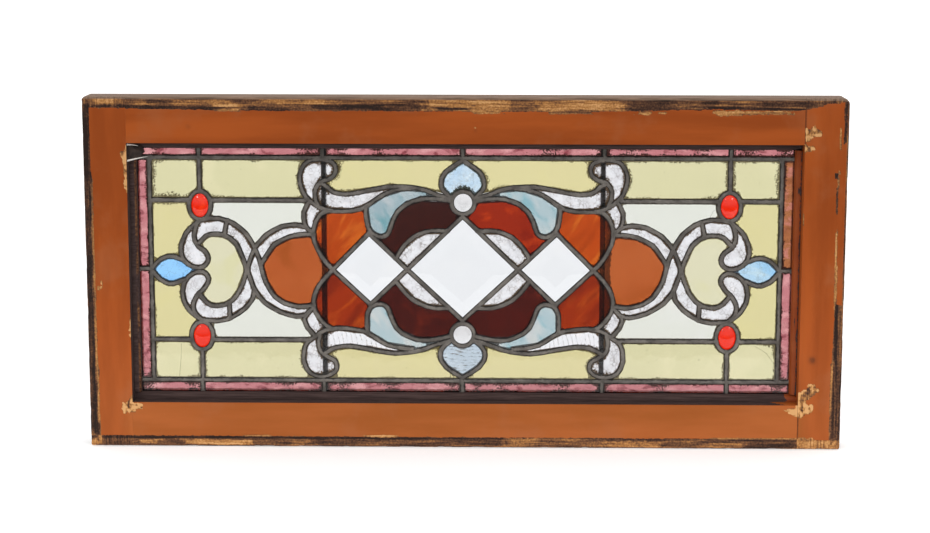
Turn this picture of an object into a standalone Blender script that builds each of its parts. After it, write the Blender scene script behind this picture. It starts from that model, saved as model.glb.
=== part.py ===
"""A leaded stained glass window in a painted wooden sash.

The sash is four members with stub tenons, an inner lip at the back and four quarter-round stop beads at the
front. Between lip and beads sits the panel: a lattice of lead came with the pieces of glass in its openings,
stiffened by two upright steel bars behind. The frame is X right, Y back, Z up, with the origin in the middle
of the sill edge, halfway through the thickness of the sash. The pattern's own points are in millimetres,
x from the middle of the panel and z from the line through the bevelled squares.
"""

import math

import bmesh
import bpy
from mathutils import Matrix, Vector
from mathutils.bvhtree import BVHTree
from mathutils.geometry import interpolate_bezier

MM = 0.001
GAP = 0.3 * MM  # between neighbouring pieces

# Sash
WIDTH = 914 * MM
HEIGHT = 427.5 * MM
THICKNESS = 44 * MM
STILE = 52 * MM  # width of a stile
RAIL_TOP = 55.5 * MM  # height of the top rail
RAIL_BOTTOM = 54.5 * MM
REVEAL = 18 * MM  # from the front face back to the stop beads
BEAD = 8.5 * MM  # width and depth of a stop bead, and width of the back lip
TENON_LENGTH = 30 * MM
TENON_THICKNESS = 14 * MM
TENON_SHOULDER = 8 * MM  # from the tenon to the rail's outer and inner edges
EDGE = 1 * MM  # easing of the sash's long edges
CORNER_CHAMFER = 6 * MM  # top corner of the left stile
CORNER_RADIUS = 7 * MM  # top corner of the right stile

# Panel
CAME = 5.6 * MM  # width of the lead came
CAME_DEPTH = 5.7 * MM
CAME_TURN = math.radians(20)  # turning that one straight facet of a came takes up
GLASS = 3 * MM
PANEL_CLEARANCE = 2 * MM  # all round, inside the sash
DRIFT = 2.7  # mm by which the middle of the hand-made pattern sits to the left
BEVEL_GLASS = 5 * MM
BEVEL_WIDTH = 13 * MM
BEVEL_DROP = 2 * MM
DOME_SIDES = 20  # of a jewel or rondel, and the steps up its dome
DOME_STEPS = 5
JEWEL_RISE = 4.5 * MM
RONDEL_RISE = 2.5 * MM
BAR_WIDTH = 6 * MM
BAR_DEPTH = 9 * MM
BAR_SEAT = 6 * MM  # length of a bar's end let into the rail's lip

# Heights and places in the panel, in mm
BORDER_X, BORDER_TOP, BORDER_BOTTOM = 382.5, 136.7, -138.5
JEWEL_X, JEWEL_UPPER_Z, JEWEL_LOWER_Z = 321.0, 78.0, -83.2
JEWEL_RADII = (10.5, 14.6)  # what shows of a jewel inside its came
JEWEL_LINE_UPPER, JEWEL_LINE_LOWER = 84.5, -88.0
RONDELS = {"rondel_upper": (0.5, 82.2), "rondel_lower": (0, -80.8)}
RONDEL_RADIUS = 11.1
BAR_X = 169.5

# Centre lines of the curved cames in the left half, in mm
HALF_CURVES = {
    "horseshoe_outer_to_disc": (
        (-322, 60), (-303, 62.2), (-285, 58), (-268.5, 47), (-257.5, 32), (-249, 12),
        (-242.3, -14), (-228.5, -36), (-205, -46.3), (-182.5, -45),
    ),
    "disc_upper": ((-182, 43), (-199, 42.6), (-215, 38.4), (-230, 30), (-238.6, 19.4), (-247.3, 5)),
    "strap": (
        (-190.5, 51.4), (-200, 54.1), (-215, 53.6), (-231, 47.6), (-244, 38.2), (-253, 27.4), (-260, 12),
        (-263.3, -1), (-259.5, -14.5), (-255, -26.5), (-247, -37.6), (-237, -46.3), (-221, -54.4),
        (-205, -58.6), (-192.5, -57.5),
    ),
    "horseshoe_inner": (
        (-323.5, 31), (-313.5, 40.7), (-301, 42.9), (-288.5, 39.9), (-277.5, 30.9), (-270.5, 17), (-265.3, 1),
        (-266.5, -9), (-271.5, -22), (-280, -36), (-291, -44), (-305, -46), (-313.5, -43), (-322.5, -33),
    ),
    "horseshoe_outer_lower": (
        (-255.5, -26), (-258, -37), (-266.5, -48), (-281.5, -59), (-299, -64.6), (-322, -63.5),
    ),
    "teardrop_upper": (
        (-322, 60), (-336.3, 47), (-343.4, 34), (-345.4, 21), (-340.8, 9), (-329.2, 1.9), (-318.1, 2.9),
        (-312.1, 11), (-315, 20.5), (-324.2, 28), (-328.7, 38), (-327.2, 50), (-322, 60),
    ),
    "teardrop_lower": (
        (-322, -63.5), (-334.3, -54), (-342.4, -41), (-344.4, -27), (-340, -14), (-329.3, -5.1), (-318, -4.3),
        (-312, -12.6), (-316.5, -23), (-325.5, -32), (-331.5, -44), (-329.5, -55), (-322, -63.5),
    ),
    "blue_diamond_upper": ((-382.5, -0.6), (-371.5, 11), (-357.5, 15.3), (-341, 10)),
    "blue_diamond_lower": ((-382.5, -1.6), (-371.5, -13.6), (-357.5, -18.7), (-341, -13)),
    "arc_upper": (
        (-160, 71.9), (-170, 69.7), (-178, 60.4), (-182, 47), (-181, 35), (-174.5, 19.4), (-166, 7.4),
        (-158.5, -0.6),
    ),
    "arc_lower": (
        (-158.5, -0.6), (-169, -11.6), (-177.5, -23), (-182.3, -36), (-181.8, -49), (-177, -59),
        (-168.5, -69), (-160, -74),
    ),
    "small_white_upper": ((-187, 83), (-191.5, 75), (-193.8, 65), (-190.5, 51.4), (-182, 45)),
    "small_white_lower": (
        (-182.3, -47), (-189.5, -54), (-194, -61), (-192.5, -68), (-189.5, -74), (-180, -84.5),
    ),
    "scroll_upper": (
        (-175.5, 78), (-179.3, 87), (-179, 98), (-173, 106.5), (-161.5, 111), (-154.8, 118), (-155.5, 128),
        (-165, 133.7), (-178, 134.2), (-190.5, 130), (-198, 115), (-195.5, 98), (-188.7, 86.5), (-174, 76),
        (-160, 71.8), (-140, 71.5), (-124, 74.3), (-113.5, 80), (-104, 87), (-92, 93.7), (-78, 98.2), (-62, 99.8),
    ),
    "scroll_lower": (
        (-175, -80), (-177, -92), (-174, -103), (-165.5, -109.3), (-156.5, -115), (-155.5, -125),
        (-163, -131.5), (-175, -133.8), (-187.5, -129.5), (-194.5, -118), (-195.5, -105), (-191.5, -92),
        (-182, -84.5), (-171, -77), (-155, -73.4), (-139, -73.8), (-122, -76.8), (-112, -81.3), (-103, -88),
        (-92, -93.8), (-76, -97.6), (-60, -98.8),
    ),
    "crown_upper": (
        (-173, 106), (-166, 102), (-157.5, 95), (-145, 92.3), (-128, 94), (-108, 98.2), (-88, 101.4),
        (-66, 101.2), (-48, 98.3), (-30, 91.4), (-12, 87),
    ),
    "crown_lower": (
        (-170, -105), (-158.5, -98.5), (-142.5, -95.6), (-118, -98.6), (-92, -103.6), (-72, -103.8),
        (-52, -100.6), (-36, -94.6), (-12, -87),
    ),
    "crescent_upper": (
        (-118, 77), (-117.8, 67), (-116.2, 56.5), (-112.5, 47.5), (-105.5, 41.8), (-98, 40.3), (-91.2, 43.8),
        (-87.4, 52), (-84, 62.5), (-78, 72), (-68, 80.5), (-53, 86), (-36, 87.1), (-12, 84),
    ),
    "crescent_lower": (
        (-116.8, -79), (-117.3, -66), (-116.6, -55.5), (-112.2, -46.8), (-105, -43.2), (-97.2, -43.5),
        (-91.2, -48.6), (-88, -57.5), (-84.3, -67), (-79, -75), (-70, -81.5), (-55, -87.1), (-38, -87.4), (-12, -82),
    ),
    "lens_upper": ((-17, 47.2), (-38, 47.6), (-56, 42), (-70, 30.6), (-81.5, 13.4)),
    "lens_lower": ((-16, -47.6), (-34, -47.7), (-51, -43.1), (-66, -33.1), (-82.5, -13.6)),
    "heart_upper": ((0, 134.4), (-12, 126.1), (-21.5, 118.4), (-26, 108), (-24.5, 98.4), (-12, 86)),
    "heart_lower": ((0, -134.5), (-11, -128.1), (-21, -120.1), (-27.3, -109), (-25, -97.6), (-12, -86)),
}

# Ends of the straight cames in the left half, in mm
HALF_LINES = {
    "border_side": ((-BORDER_X, BORDER_BOTTOM), (-BORDER_X, BORDER_TOP)),
    "jewel_line_upper_outer": ((-BORDER_X, JEWEL_LINE_UPPER), (-333.5, JEWEL_LINE_UPPER)),
    "jewel_line_upper_inner": ((-308.5, JEWEL_LINE_UPPER), (-190, JEWEL_LINE_UPPER)),
    "jewel_line_lower_outer": ((-BORDER_X, JEWEL_LINE_LOWER), (-333.5, JEWEL_LINE_LOWER)),
    "jewel_line_lower_inner": ((-308.5, JEWEL_LINE_LOWER), (-190, JEWEL_LINE_LOWER)),
    "jewel_post_upper": ((-JEWEL_X, BORDER_TOP), (-JEWEL_X, 94)),
    "jewel_post_lower": ((-JEWEL_X, BORDER_BOTTOM), (-JEWEL_X, -99)),
    "horseshoe_tie_upper": ((-288.2, 59), (-291.8, 41)),
    "horseshoe_tie_lower": ((-287, -43), (-286, -60)),
    "diamond_side_1": ((-158.5, -0.6), (-114, 44.4)),
    "diamond_side_2": ((-114, 44.4), (-67.5, -0.1)),
    "diamond_side_3": ((-67.5, -0.1), (-112.7, -43.6)),
    "diamond_side_4": ((-112.7, -43.6), (-158.5, -0.6)),
    "centre_side_upper": ((-67.5, -0.1), (0, 65.4)),
    "centre_side_lower": ((-67.5, -0.1), (0, -63.1)),
    "border_tie_side": ((-BORDER_X, 0), (-400, 0)),
}
BORDER_TIES = (-321.5, -170.5, 0, 170.5, 321.5)  # x of the short cames between the pink strips

# A point inside each piece of glass in the left half, in mm
PANES = {
    "corner_pane": ((-352, 110), (-352, -112)),
    "field_pane": ((-260, 110), (-260, -110)),
    "crown_pane": ((-100, 120), (-100, -118)),
    "side_pane": ((-365, 50), (-365, -50)),
    "clear_pane": ((-235, 70), (-235, -72)),
    "amber_pane": ((-145, 45), (-145, -45)),
    "crescent": ((-105, 65), (-106, -65)),
    "ruby_pane": ((-60, 65), (-60, -65)),
}
SINGLE_PANES = {"horseshoe_pane": (-295, 0), "blue_diamond": (-357, -1), "disc": (-210, 0)}
BEVELS = {"bevel_left": (-113, 0), "bevel_centre": (0, 0), "bevel_right": (113, 0)}
TEXTURED = (
    (-335, 25), (-335, -28), (-307, 52), (-268, 33), (-305, -55), (-272, -38), (-233, 39), (-234, -42),
    (-185, 65), (-185, -66), (-188, 110), (-186, -112), (-145, 83), (-150, -84), (-57, 27), (-57, -27),
)
BORDER_STRIPS = (
    (-360, 145), (-250, 145), (-85, 145), (-360, -145), (-250, -145), (-85, -145), (-391.5, 65), (-391.5, -65),
)

COLOURS = {  # red, green, blue, then roughness
    "paint": (0.35, 0.07, 0.013, 0.55),
    "bead": (0.06, 0.028, 0.018, 0.7),
    "lead": (0.09, 0.08, 0.07, 0.6),
    "steel": (0.03, 0.02, 0.015, 0.7),
    "yellow": (0.72, 0.66, 0.36, 0.15),
    "clear": (0.75, 0.77, 0.72, 0.1),
    "orange": (0.43, 0.085, 0.025, 0.15),
    "amber": (0.5, 0.07, 0.01, 0.15),
    "ruby": (0.09, 0.006, 0.005, 0.15),
    "red": (0.85, 0.05, 0.015, 0.05),
    "blue": (0.25, 0.5, 0.8, 0.1),
    "opal": (0.35, 0.5, 0.55, 0.2),
    "pale_blue": (0.55, 0.68, 0.78, 0.15),
    "bevel": (0.82, 0.85, 0.87, 0.03),
}
PANE_COLOURS = {
    "corner_pane": "yellow",
    "field_pane": "yellow",
    "crown_pane": "yellow",
    "side_pane": "yellow",
    "horseshoe_pane": "yellow",
    "clear_pane": "clear",
    "amber_pane": "amber",
    "crescent": "opal",
    "ruby_pane": "ruby",
    "blue_diamond": "blue",
    "disc": "orange",
    "heart": "pale_blue",
}

FRONT = -THICKNESS / 2
BACK = THICKNESS / 2
PANEL_FRONT = FRONT + REVEAL + BEAD + GAP
PANEL_BACK = PANEL_FRONT + CAME_DEPTH
PANEL_MIDDLE = (PANEL_FRONT + PANEL_BACK) / 2
LIP_FRONT = PANEL_BACK + GAP
MID_HEIGHT = (RAIL_BOTTOM + HEIGHT - RAIL_TOP) / 2  # of the sash opening
PATTERN_HEIGHT = 215.4 * MM  # of the pattern's z = 0
OPENING_X = WIDTH / 2 - STILE  # half of the sash opening
OPENING_Z = MID_HEIGHT - RAIL_BOTTOM
PANEL_X = OPENING_X - PANEL_CLEARANCE
PANEL_Z = OPENING_Z - PANEL_CLEARANCE
OUTER_X = (PANEL_X - CAME / 2) / MM  # centre lines of the outermost cames, in the pattern's mm
OUTER_TOP = (MID_HEIGHT + PANEL_Z - CAME / 2 - PATTERN_HEIGHT) / MM
OUTER_BOTTOM = (MID_HEIGHT - PANEL_Z + CAME / 2 - PATTERN_HEIGHT) / MM


def clear_scene():
    for obj in list(bpy.data.objects):
        bpy.data.objects.remove(obj, do_unlink=True)


def new_collection(name, hidden=False):
    collection = bpy.data.collections.new(name)
    collection.hide_render = hidden
    bpy.context.scene.collection.children.link(collection)
    return collection


def material(name):
    found = bpy.data.materials.get(name)
    if found:
        return found
    made = bpy.data.materials.new(name)
    made.use_nodes = True
    shader = made.node_tree.nodes["Principled BSDF"]
    *colour, roughness = COLOURS[name]
    shader.inputs["Base Color"].default_value = (*colour, 1)
    shader.inputs["Roughness"].default_value = roughness
    shader.inputs["Metallic"].default_value = 1.0 if name == "steel" else 0.0
    made.diffuse_color = (*colour, 1)
    return made


def add_object(name, mesh, collection, colour=None):
    obj = bpy.data.objects.new(name, mesh)
    collection.objects.link(obj)
    if colour:
        mesh.materials.clear()
        mesh.materials.append(material(colour))
    return obj


def mesh_from(bm, name):
    bmesh.ops.recalc_face_normals(bm, faces=bm.faces)
    mesh = bpy.data.meshes.new(name)
    bm.to_mesh(mesh)
    bm.free()
    return mesh


def box_bmesh(low, high):
    """A box between two corners, as a bmesh."""
    low, high = Vector(low), Vector(high)
    placed = Matrix.Translation((low + high) / 2) @ Matrix.Diagonal((*(high - low), 1))
    bm = bmesh.new()
    bmesh.ops.create_cube(bm, size=1, matrix=placed)
    return bm


def box(name, low, high, collection, colour=None):
    return add_object(name, mesh_from(box_bmesh(low, high), name), collection, colour)


def hide_as_cutter(obj):
    obj.hide_render = True
    obj.display_type = "WIRE"
    return obj


def boolean(obj, other, operation):
    """Joins or cuts obj with an object, or with every object of a collection."""
    modifier = obj.modifiers.new(operation.title(), "BOOLEAN")
    modifier.operation = operation
    if isinstance(other, bpy.types.Collection):
        modifier.operand_type = "COLLECTION"
        modifier.collection = other
    else:
        modifier.object = other


def evaluated_mesh(obj):
    graph = bpy.context.evaluated_depsgraph_get()
    mesh = bpy.data.meshes.new_from_object(obj.evaluated_get(graph))
    mesh.transform(obj.matrix_world)
    return mesh


def world(x, z, y=0.0):
    """A point of the pattern, given in mm, as a point of the window."""
    drifted = x - DRIFT * max(0.0, 1 - (x / BORDER_X) ** 2)
    return Vector((drifted * MM, y, z * MM + PATTERN_HEIGHT))


# Lead came: centre lines, and strips cut from them


def smooth(knots, steps=12):
    """Points along a smooth curve through the knots."""
    knots = [Vector(knot) for knot in knots]
    points = []
    for i, (start, end) in enumerate(zip(knots, knots[1:])):
        before = knots[max(i - 1, 0)]
        after = knots[min(i + 2, len(knots) - 1)]
        reach = (end - start).length / 3
        leaving = start + (end - before).normalized() * reach
        arriving = end - (after - start).normalized() * reach
        points += interpolate_bezier(start, leaving, arriving, end, steps)[:-1]
    return points + [knots[-1]]


def every_turn(points):
    """Keeps a point each time the line has turned by CAME_TURN."""
    kept = [points[0]]
    turned = 0.0
    for before, here, after in zip(points, points[1:], points[2:]):
        turned += abs((here - before).angle_signed(after - here))
        if turned > CAME_TURN:
            kept.append(here)
            turned = 0.0
    return kept + [points[-1]]


def ellipse(middle, radii, sides):
    angles = [2 * math.pi * i / sides for i in range(sides)]
    return [(middle[0] + radii[0] * math.cos(a), middle[1] + radii[1] * math.sin(a)) for a in angles]


def mirrored(points):
    return [(-x, z) for x, z in points]


def came_lines():
    """Every came's centre line in mm, with True for one that closes on itself."""
    lines = []
    for knots in HALF_CURVES.values():
        curve = [tuple(point) for point in every_turn(smooth(knots))]
        lines += [(curve, False), (mirrored(curve), False)]
    for ends in HALF_LINES.values():
        lines += [(ends, False), (mirrored(ends), False)]
    for z in (BORDER_TOP, BORDER_BOTTOM, OUTER_TOP, OUTER_BOTTOM):
        lines.append((((-OUTER_X, z), (OUTER_X, z)), False))
    for x in (OUTER_X, -OUTER_X):
        lines.append((((x, OUTER_BOTTOM), (x, OUTER_TOP)), False))
    for x in BORDER_TIES:
        lines.append((((x, BORDER_TOP), (x, OUTER_TOP)), False))
        lines.append((((x, BORDER_BOTTOM), (x, OUTER_BOTTOM)), False))
    half = CAME / 2 / MM
    jewel_radii = [radius + half for radius in JEWEL_RADII]
    for x in (-JEWEL_X, JEWEL_X):
        for z in (JEWEL_UPPER_Z, JEWEL_LOWER_Z):
            lines.append((ellipse((x, z), jewel_radii, 20), True))
    for spot in RONDELS.values():
        lines.append((ellipse(spot, (RONDEL_RADIUS + half,) * 2, 18), True))
    return lines


def strip_section(width):
    """The section of a strip: its width by a depth that passes right through the panel."""
    data = bpy.data.curves.new("strip_section", "CURVE")
    data.dimensions = "2D"
    spline = data.splines.new("POLY")
    spline.points.add(3)
    corners = ((-1, -1), (1, -1), (1, 1), (-1, 1))
    for point, (across, deep) in zip(spline.points, corners):
        point.co = (across * width / 2, deep * 2 * CAME_DEPTH, 0, 1)
    spline.use_cyclic_u = True
    return bpy.data.objects.new("strip_section", data)


def came_strip(line, closed, section, deeper, collection):
    """A strip along a centre line, upright in the plane of the panel and made deeper by this factor."""
    data = bpy.data.curves.new("came", "CURVE")
    data.dimensions = "2D"
    data.fill_mode = "NONE"
    data.bevel_mode = "OBJECT"
    data.bevel_object = section
    data.use_fill_caps = True
    spline = data.splines.new("POLY")
    spline.points.add(len(line) - 1)
    for point, (x, z) in zip(spline.points, line):
        at = world(x, z)
        point.co = (at.x, at.z, 0, 1)
    spline.use_cyclic_u = closed
    curve = bpy.data.objects.new("came", data)
    collection.objects.link(curve)
    curve.rotation_euler = (math.radians(90), 0, 0)
    curve.location = (0, PANEL_MIDDLE, 0)
    bpy.context.view_layer.update()
    mesh = evaluated_mesh(curve)
    bpy.data.objects.remove(curve)
    bm = bmesh.new()
    bm.from_mesh(mesh)
    bmesh.ops.remove_doubles(bm, verts=bm.verts, dist=0.01 * MM)
    around_panel = Matrix.Translation((0, -PANEL_MIDDLE, 0))
    bmesh.ops.scale(bm, vec=(1, deeper, 1), verts=bm.verts, space=around_panel)
    add_object("came_strip", mesh_from(bm, "came_strip"), collection)


def strips(width):
    """Every came as a strip of this width, in a hidden collection. No two are equally deep, so no ends are flush."""
    collection = new_collection(f"strips_{width / MM:.1f}mm", hidden=True)
    section = strip_section(width)
    collection.objects.link(section)
    for i, (line, closed) in enumerate(came_lines()):
        came_strip(line, closed, section, 1 + i / 1000, collection)
    collection.objects.unlink(section)
    return collection


def pieces_between(strip_width, depth):
    """The panel's sheet, this deep, with every strip cut out of it: one loose piece for each opening."""
    cut = new_collection(f"sheet_{depth / MM:.0f}mm", hidden=True)
    low = world(-OUTER_X, OUTER_BOTTOM, PANEL_MIDDLE - depth / 2)
    high = world(OUTER_X, OUTER_TOP, PANEL_MIDDLE + depth / 2)
    sheet = box("sheet", low, high, cut)
    boolean(sheet, strips(strip_width), "DIFFERENCE")
    bm = bmesh.new()
    bm.from_mesh(evaluated_mesh(sheet))
    bpy.data.objects.remove(sheet)
    bmesh.ops.remove_doubles(bm, verts=bm.verts, dist=0.02 * MM)
    bmesh.ops.dissolve_limit(bm, angle_limit=math.radians(2), verts=bm.verts, edges=bm.edges)
    return bm


def piece_at(bm, tree, spot):
    """A copy of the loose piece that holds this spot of the pattern."""
    _, _, index, _ = tree.ray_cast(world(*spot, y=-1.0), Vector((0, 1, 0)))
    found = {bm.faces[index]}
    edge_of_search = list(found)
    while edge_of_search:
        face = edge_of_search.pop()
        for edge in face.edges:
            fresh = set(edge.link_faces) - found
            found |= fresh
            edge_of_search += fresh
    keep = {face.index for face in found}
    piece = bm.copy()
    piece.faces.ensure_lookup_table()
    others = [face for face in piece.faces if face.index not in keep]
    bmesh.ops.delete(piece, geom=others, context="FACES")
    return piece


def searchable(bm):
    bm.faces.ensure_lookup_table()
    bm.faces.index_update()
    return BVHTree.FromBMesh(bm)


def mirrored_spots(spots):
    return list(spots) + [(-x, z) for x, z in spots]


def pane_spots():
    """The name of each pane and a spot inside it."""
    spots = {}
    for side, sign in (("left", 1), ("right", -1)):
        for name, (upper, lower) in PANES.items():
            spots[f"{name}_upper_{side}"] = (sign * upper[0], upper[1])
            spots[f"{name}_lower_{side}"] = (sign * lower[0], lower[1])
        for name, (x, z) in SINGLE_PANES.items():
            spots[f"{name}_{side}"] = (sign * x, z)
    spots["heart_upper"] = (0, 112)
    spots["heart_lower"] = (0, -112)
    return spots


def jewel_spots():
    return {
        f"jewel_{level}_{side}": (x, z)
        for side, x in (("left", -JEWEL_X), ("right", JEWEL_X))
        for level, z in (("upper", JEWEL_UPPER_Z), ("lower", JEWEL_LOWER_Z))
    }


def make_leading(parts):
    """The lattice of lead: a plate with an opening for each named piece of glass.

    The small pieces of textured glass and the strips of the border are joined to it as webs, sunk from
    the front, each inside its own ring of came.
    """
    openings = pieces_between(CAME, 3 * CAME_DEPTH)
    tree = searchable(openings)
    cutters = new_collection("opening_cutters", hidden=True)
    for spot in (pane_spots() | jewel_spots() | BEVELS | RONDELS).values():
        cutter = piece_at(openings, tree, spot)
        hide_as_cutter(add_object("opening", mesh_from(cutter, "opening"), cutters))
    sunk = (CAME_DEPTH - GLASS) / 2
    for spot in mirrored_spots(TEXTURED + BORDER_STRIPS):
        cutter = piece_at(openings, tree, spot)
        bmesh.ops.translate(cutter, verts=cutter.verts, vec=(0, sunk - 2 * CAME_DEPTH, 0))
        hide_as_cutter(add_object("pocket", mesh_from(cutter, "pocket"), cutters))
    openings.free()
    low = (-PANEL_X, PANEL_FRONT, MID_HEIGHT - PANEL_Z)
    high = (PANEL_X, PANEL_BACK, MID_HEIGHT + PANEL_Z)
    plate = box("leading", low, high, parts, "lead")
    boolean(plate, cutters, "DIFFERENCE")


def make_panes(parts):
    """The flat panes: the openings less a gap, one object each."""
    sheet = pieces_between(CAME + 2 * GAP, GLASS)
    tree = searchable(sheet)
    for name, spot in pane_spots().items():
        colour = next(PANE_COLOURS[kind] for kind in PANE_COLOURS if name.startswith(kind))
        add_object(name, mesh_from(piece_at(sheet, tree, spot), name), parts, colour)
    for name, spot in BEVELS.items():
        add_object(name, bevelled(piece_at(sheet, tree, spot), name), parts, "bevel")
    sheet.free()


def bevelled(bm, name):
    """A pane thickened to BEVEL_GLASS, its front face drawn in and raised over a bevel on every side."""
    front = min(bm.faces, key=lambda face: face.calc_center_median().y)
    edge_height = PANEL_MIDDLE + GLASS / 2 - BEVEL_GLASS + BEVEL_DROP
    for vert in front.verts:
        vert.co.y = edge_height
    bmesh.ops.inset_region(bm, faces=[front], thickness=BEVEL_WIDTH, use_even_offset=True)
    for vert in front.verts:
        vert.co.y = edge_height - BEVEL_DROP
    return mesh_from(bm, name)


def domed(name, spot, radii, rise, parts, colour):
    """A pressed jewel or rondel: flat back, upright rim and domed front, turned and then made oval."""
    rim = GLASS / 2
    outline = [(0, rim), (1, rim), (1, -rim)]
    for i in range(1, DOME_STEPS + 1):
        angle = math.pi / 2 * i / DOME_STEPS
        outline.append((math.cos(angle), -rim - rise * math.sin(angle)))
    bm = bmesh.new()
    verts = [bm.verts.new((across, deep, 0)) for across, deep in outline]
    for start, end in zip(verts, verts[1:]):
        bm.edges.new((start, end))
    bmesh.ops.spin(
        bm, geom=bm.verts[:] + bm.edges[:], cent=(0, 0, 0), axis=(0, 1, 0), angle=2 * math.pi, steps=DOME_SIDES
    )
    across, up = [(radius * MM - GAP) for radius in radii]
    bmesh.ops.scale(bm, vec=(across, 1, up), verts=bm.verts)
    bmesh.ops.remove_doubles(bm, verts=bm.verts, dist=0.01 * MM)
    bmesh.ops.translate(bm, verts=bm.verts, vec=world(*spot, y=PANEL_MIDDLE))
    obj = add_object(name, mesh_from(bm, name), parts, colour)
    obj.data.shade_smooth()
    obj.data.set_sharp_from_angle(angle=math.radians(40))


def make_jewels(parts):
    for name, spot in jewel_spots().items():
        domed(name, spot, JEWEL_RADII, JEWEL_RISE, parts, "red")
    for name, spot in RONDELS.items():
        domed(name, spot, (RONDEL_RADIUS, RONDEL_RADIUS), RONDEL_RISE, parts, "clear")


# Sash


def eased(bm, edges, amount, segments=1):
    bmesh.ops.bevel(
        bm, geom=edges, offset=amount, offset_type="OFFSET", segments=segments, profile=0.5, affect="EDGES"
    )


def along(edge, axis):
    """Whether the edge runs along this axis."""
    run = edge.verts[0].co - edge.verts[1].co
    return abs(run[axis]) > 0.99 * run.length


def member(name, low, high, long_axis, parts, corner=None):
    """A stile or rail: a box with its long front edges eased, and on a stile its top outer corner cut off."""
    bm = box_bmesh(low, high)
    if corner:
        outer_x, amount, segments = corner
        top = [
            edge
            for edge in bm.edges
            if along(edge, 1) and edge.verts[0].co.z > MID_HEIGHT and abs(edge.verts[0].co.x - outer_x) < MM
        ]
        eased(bm, top, amount, segments)
    front = [edge for edge in bm.edges if along(edge, long_axis) and edge.verts[0].co.y < FRONT + EDGE]
    eased(bm, front, EDGE)
    return add_object(name, mesh_from(bm, name), parts, "paint")


def join_box(obj, low, high, cutters):
    boolean(obj, hide_as_cutter(box(obj.name + "_added", low, high, cutters)), "UNION")


def cut_box(obj, low, high, cutters):
    boolean(obj, hide_as_cutter(box(obj.name + "_cut", low, high, cutters)), "DIFFERENCE")


def make_stiles(parts, cutters):
    for name, side, corner in (
        ("stile_left", -1, (-WIDTH / 2, CORNER_CHAMFER, 1)),
        ("stile_right", 1, (WIDTH / 2, CORNER_RADIUS, 4)),
    ):
        xs = sorted((side * OPENING_X, side * WIDTH / 2))
        stile = member(name, (xs[0], FRONT, 0), (xs[1], BACK, HEIGHT), 2, parts, corner)
        lip = sorted((side * (OPENING_X - BEAD), side * (OPENING_X + MM)))
        reach = OPENING_Z - BEAD - GAP
        join_box(stile, (lip[0], LIP_FRONT, MID_HEIGHT - reach), (lip[1], BACK, MID_HEIGHT + reach), cutters)
        mortise = sorted((side * (OPENING_X - MM), side * (OPENING_X + TENON_LENGTH + GAP)))
        deep = TENON_THICKNESS / 2 + GAP
        inset = TENON_SHOULDER - GAP
        for low_z, high_z in ((0, RAIL_BOTTOM), (HEIGHT - RAIL_TOP, HEIGHT)):
            low = (mortise[0], -deep, low_z + inset)
            cut_box(stile, low, (mortise[1], deep, high_z - inset), cutters)


def make_rails(parts, cutters):
    reach = OPENING_X - GAP
    for name, low_z, high_z, side in (
        ("rail_top", HEIGHT - RAIL_TOP, HEIGHT, -1),
        ("rail_bottom", 0, RAIL_BOTTOM, 1),
    ):
        inner = low_z if side < 0 else high_z
        rail = member(name, (-reach, FRONT, low_z), (reach, BACK, high_z), 0, parts)
        lip = sorted((inner - side * MM, inner + side * BEAD))
        join_box(rail, (-reach, LIP_FRONT, lip[0]), (reach, BACK, lip[1]), cutters)
        for end in (-1, 1):
            xs = sorted((end * (reach - MM), end * (OPENING_X + TENON_LENGTH)))
            deep = TENON_THICKNESS / 2
            low = (xs[0], -deep, low_z + TENON_SHOULDER)
            high = (xs[1], deep, high_z - TENON_SHOULDER)
            join_box(rail, low, high, cutters)
        for x in (-BAR_X, BAR_X):
            at = world(x, 0).x
            seat = sorted((inner + side * (BEAD + MM), inner + side * (BEAD - BAR_SEAT)))
            low = (at - BAR_WIDTH / 2 - GAP, LIP_FRONT - MM, seat[0])
            high = (at + BAR_WIDTH / 2 + GAP, LIP_FRONT + BAR_DEPTH + GAP, seat[1])
            cut_box(rail, low, high, cutters)


def make_bars(parts):
    """Two flat steel bars on edge behind the panel, their ends let into the rails' lips."""
    reach = OPENING_Z - BEAD + BAR_SEAT - GAP
    for name, x in (("support_bar_left", -BAR_X), ("support_bar_right", BAR_X)):
        at = world(x, 0).x
        low = (at - BAR_WIDTH / 2, LIP_FRONT, MID_HEIGHT - reach)
        high = (at + BAR_WIDTH / 2, LIP_FRONT + BAR_DEPTH, MID_HEIGHT + reach)
        bar = box(name, low, high, parts, "steel")
        add_bevel(bar, 0.5 * MM, 1)


def add_bevel(obj, width, segments):
    modifier = obj.modifiers.new("Bevel", "BEVEL")
    modifier.width = width
    modifier.segments = segments
    modifier.limit_method = "ANGLE"


def bead(name, low, high, long_axis, inward, parts):
    """A quarter-round stop bead, rounded on its long edge that faces forward and inward."""
    bm = box_bmesh(low, high)
    across = 2 - long_axis
    edges = [
        edge
        for edge in bm.edges
        if along(edge, long_axis)
        and edge.verts[0].co.y < low[1] + MM
        and (edge.verts[0].co[across] - (low[across] + high[across]) / 2) * inward > 0
    ]
    eased(bm, edges, 0.8 * BEAD, 4)
    add_object(name, mesh_from(bm, name), parts, "bead")


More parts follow.
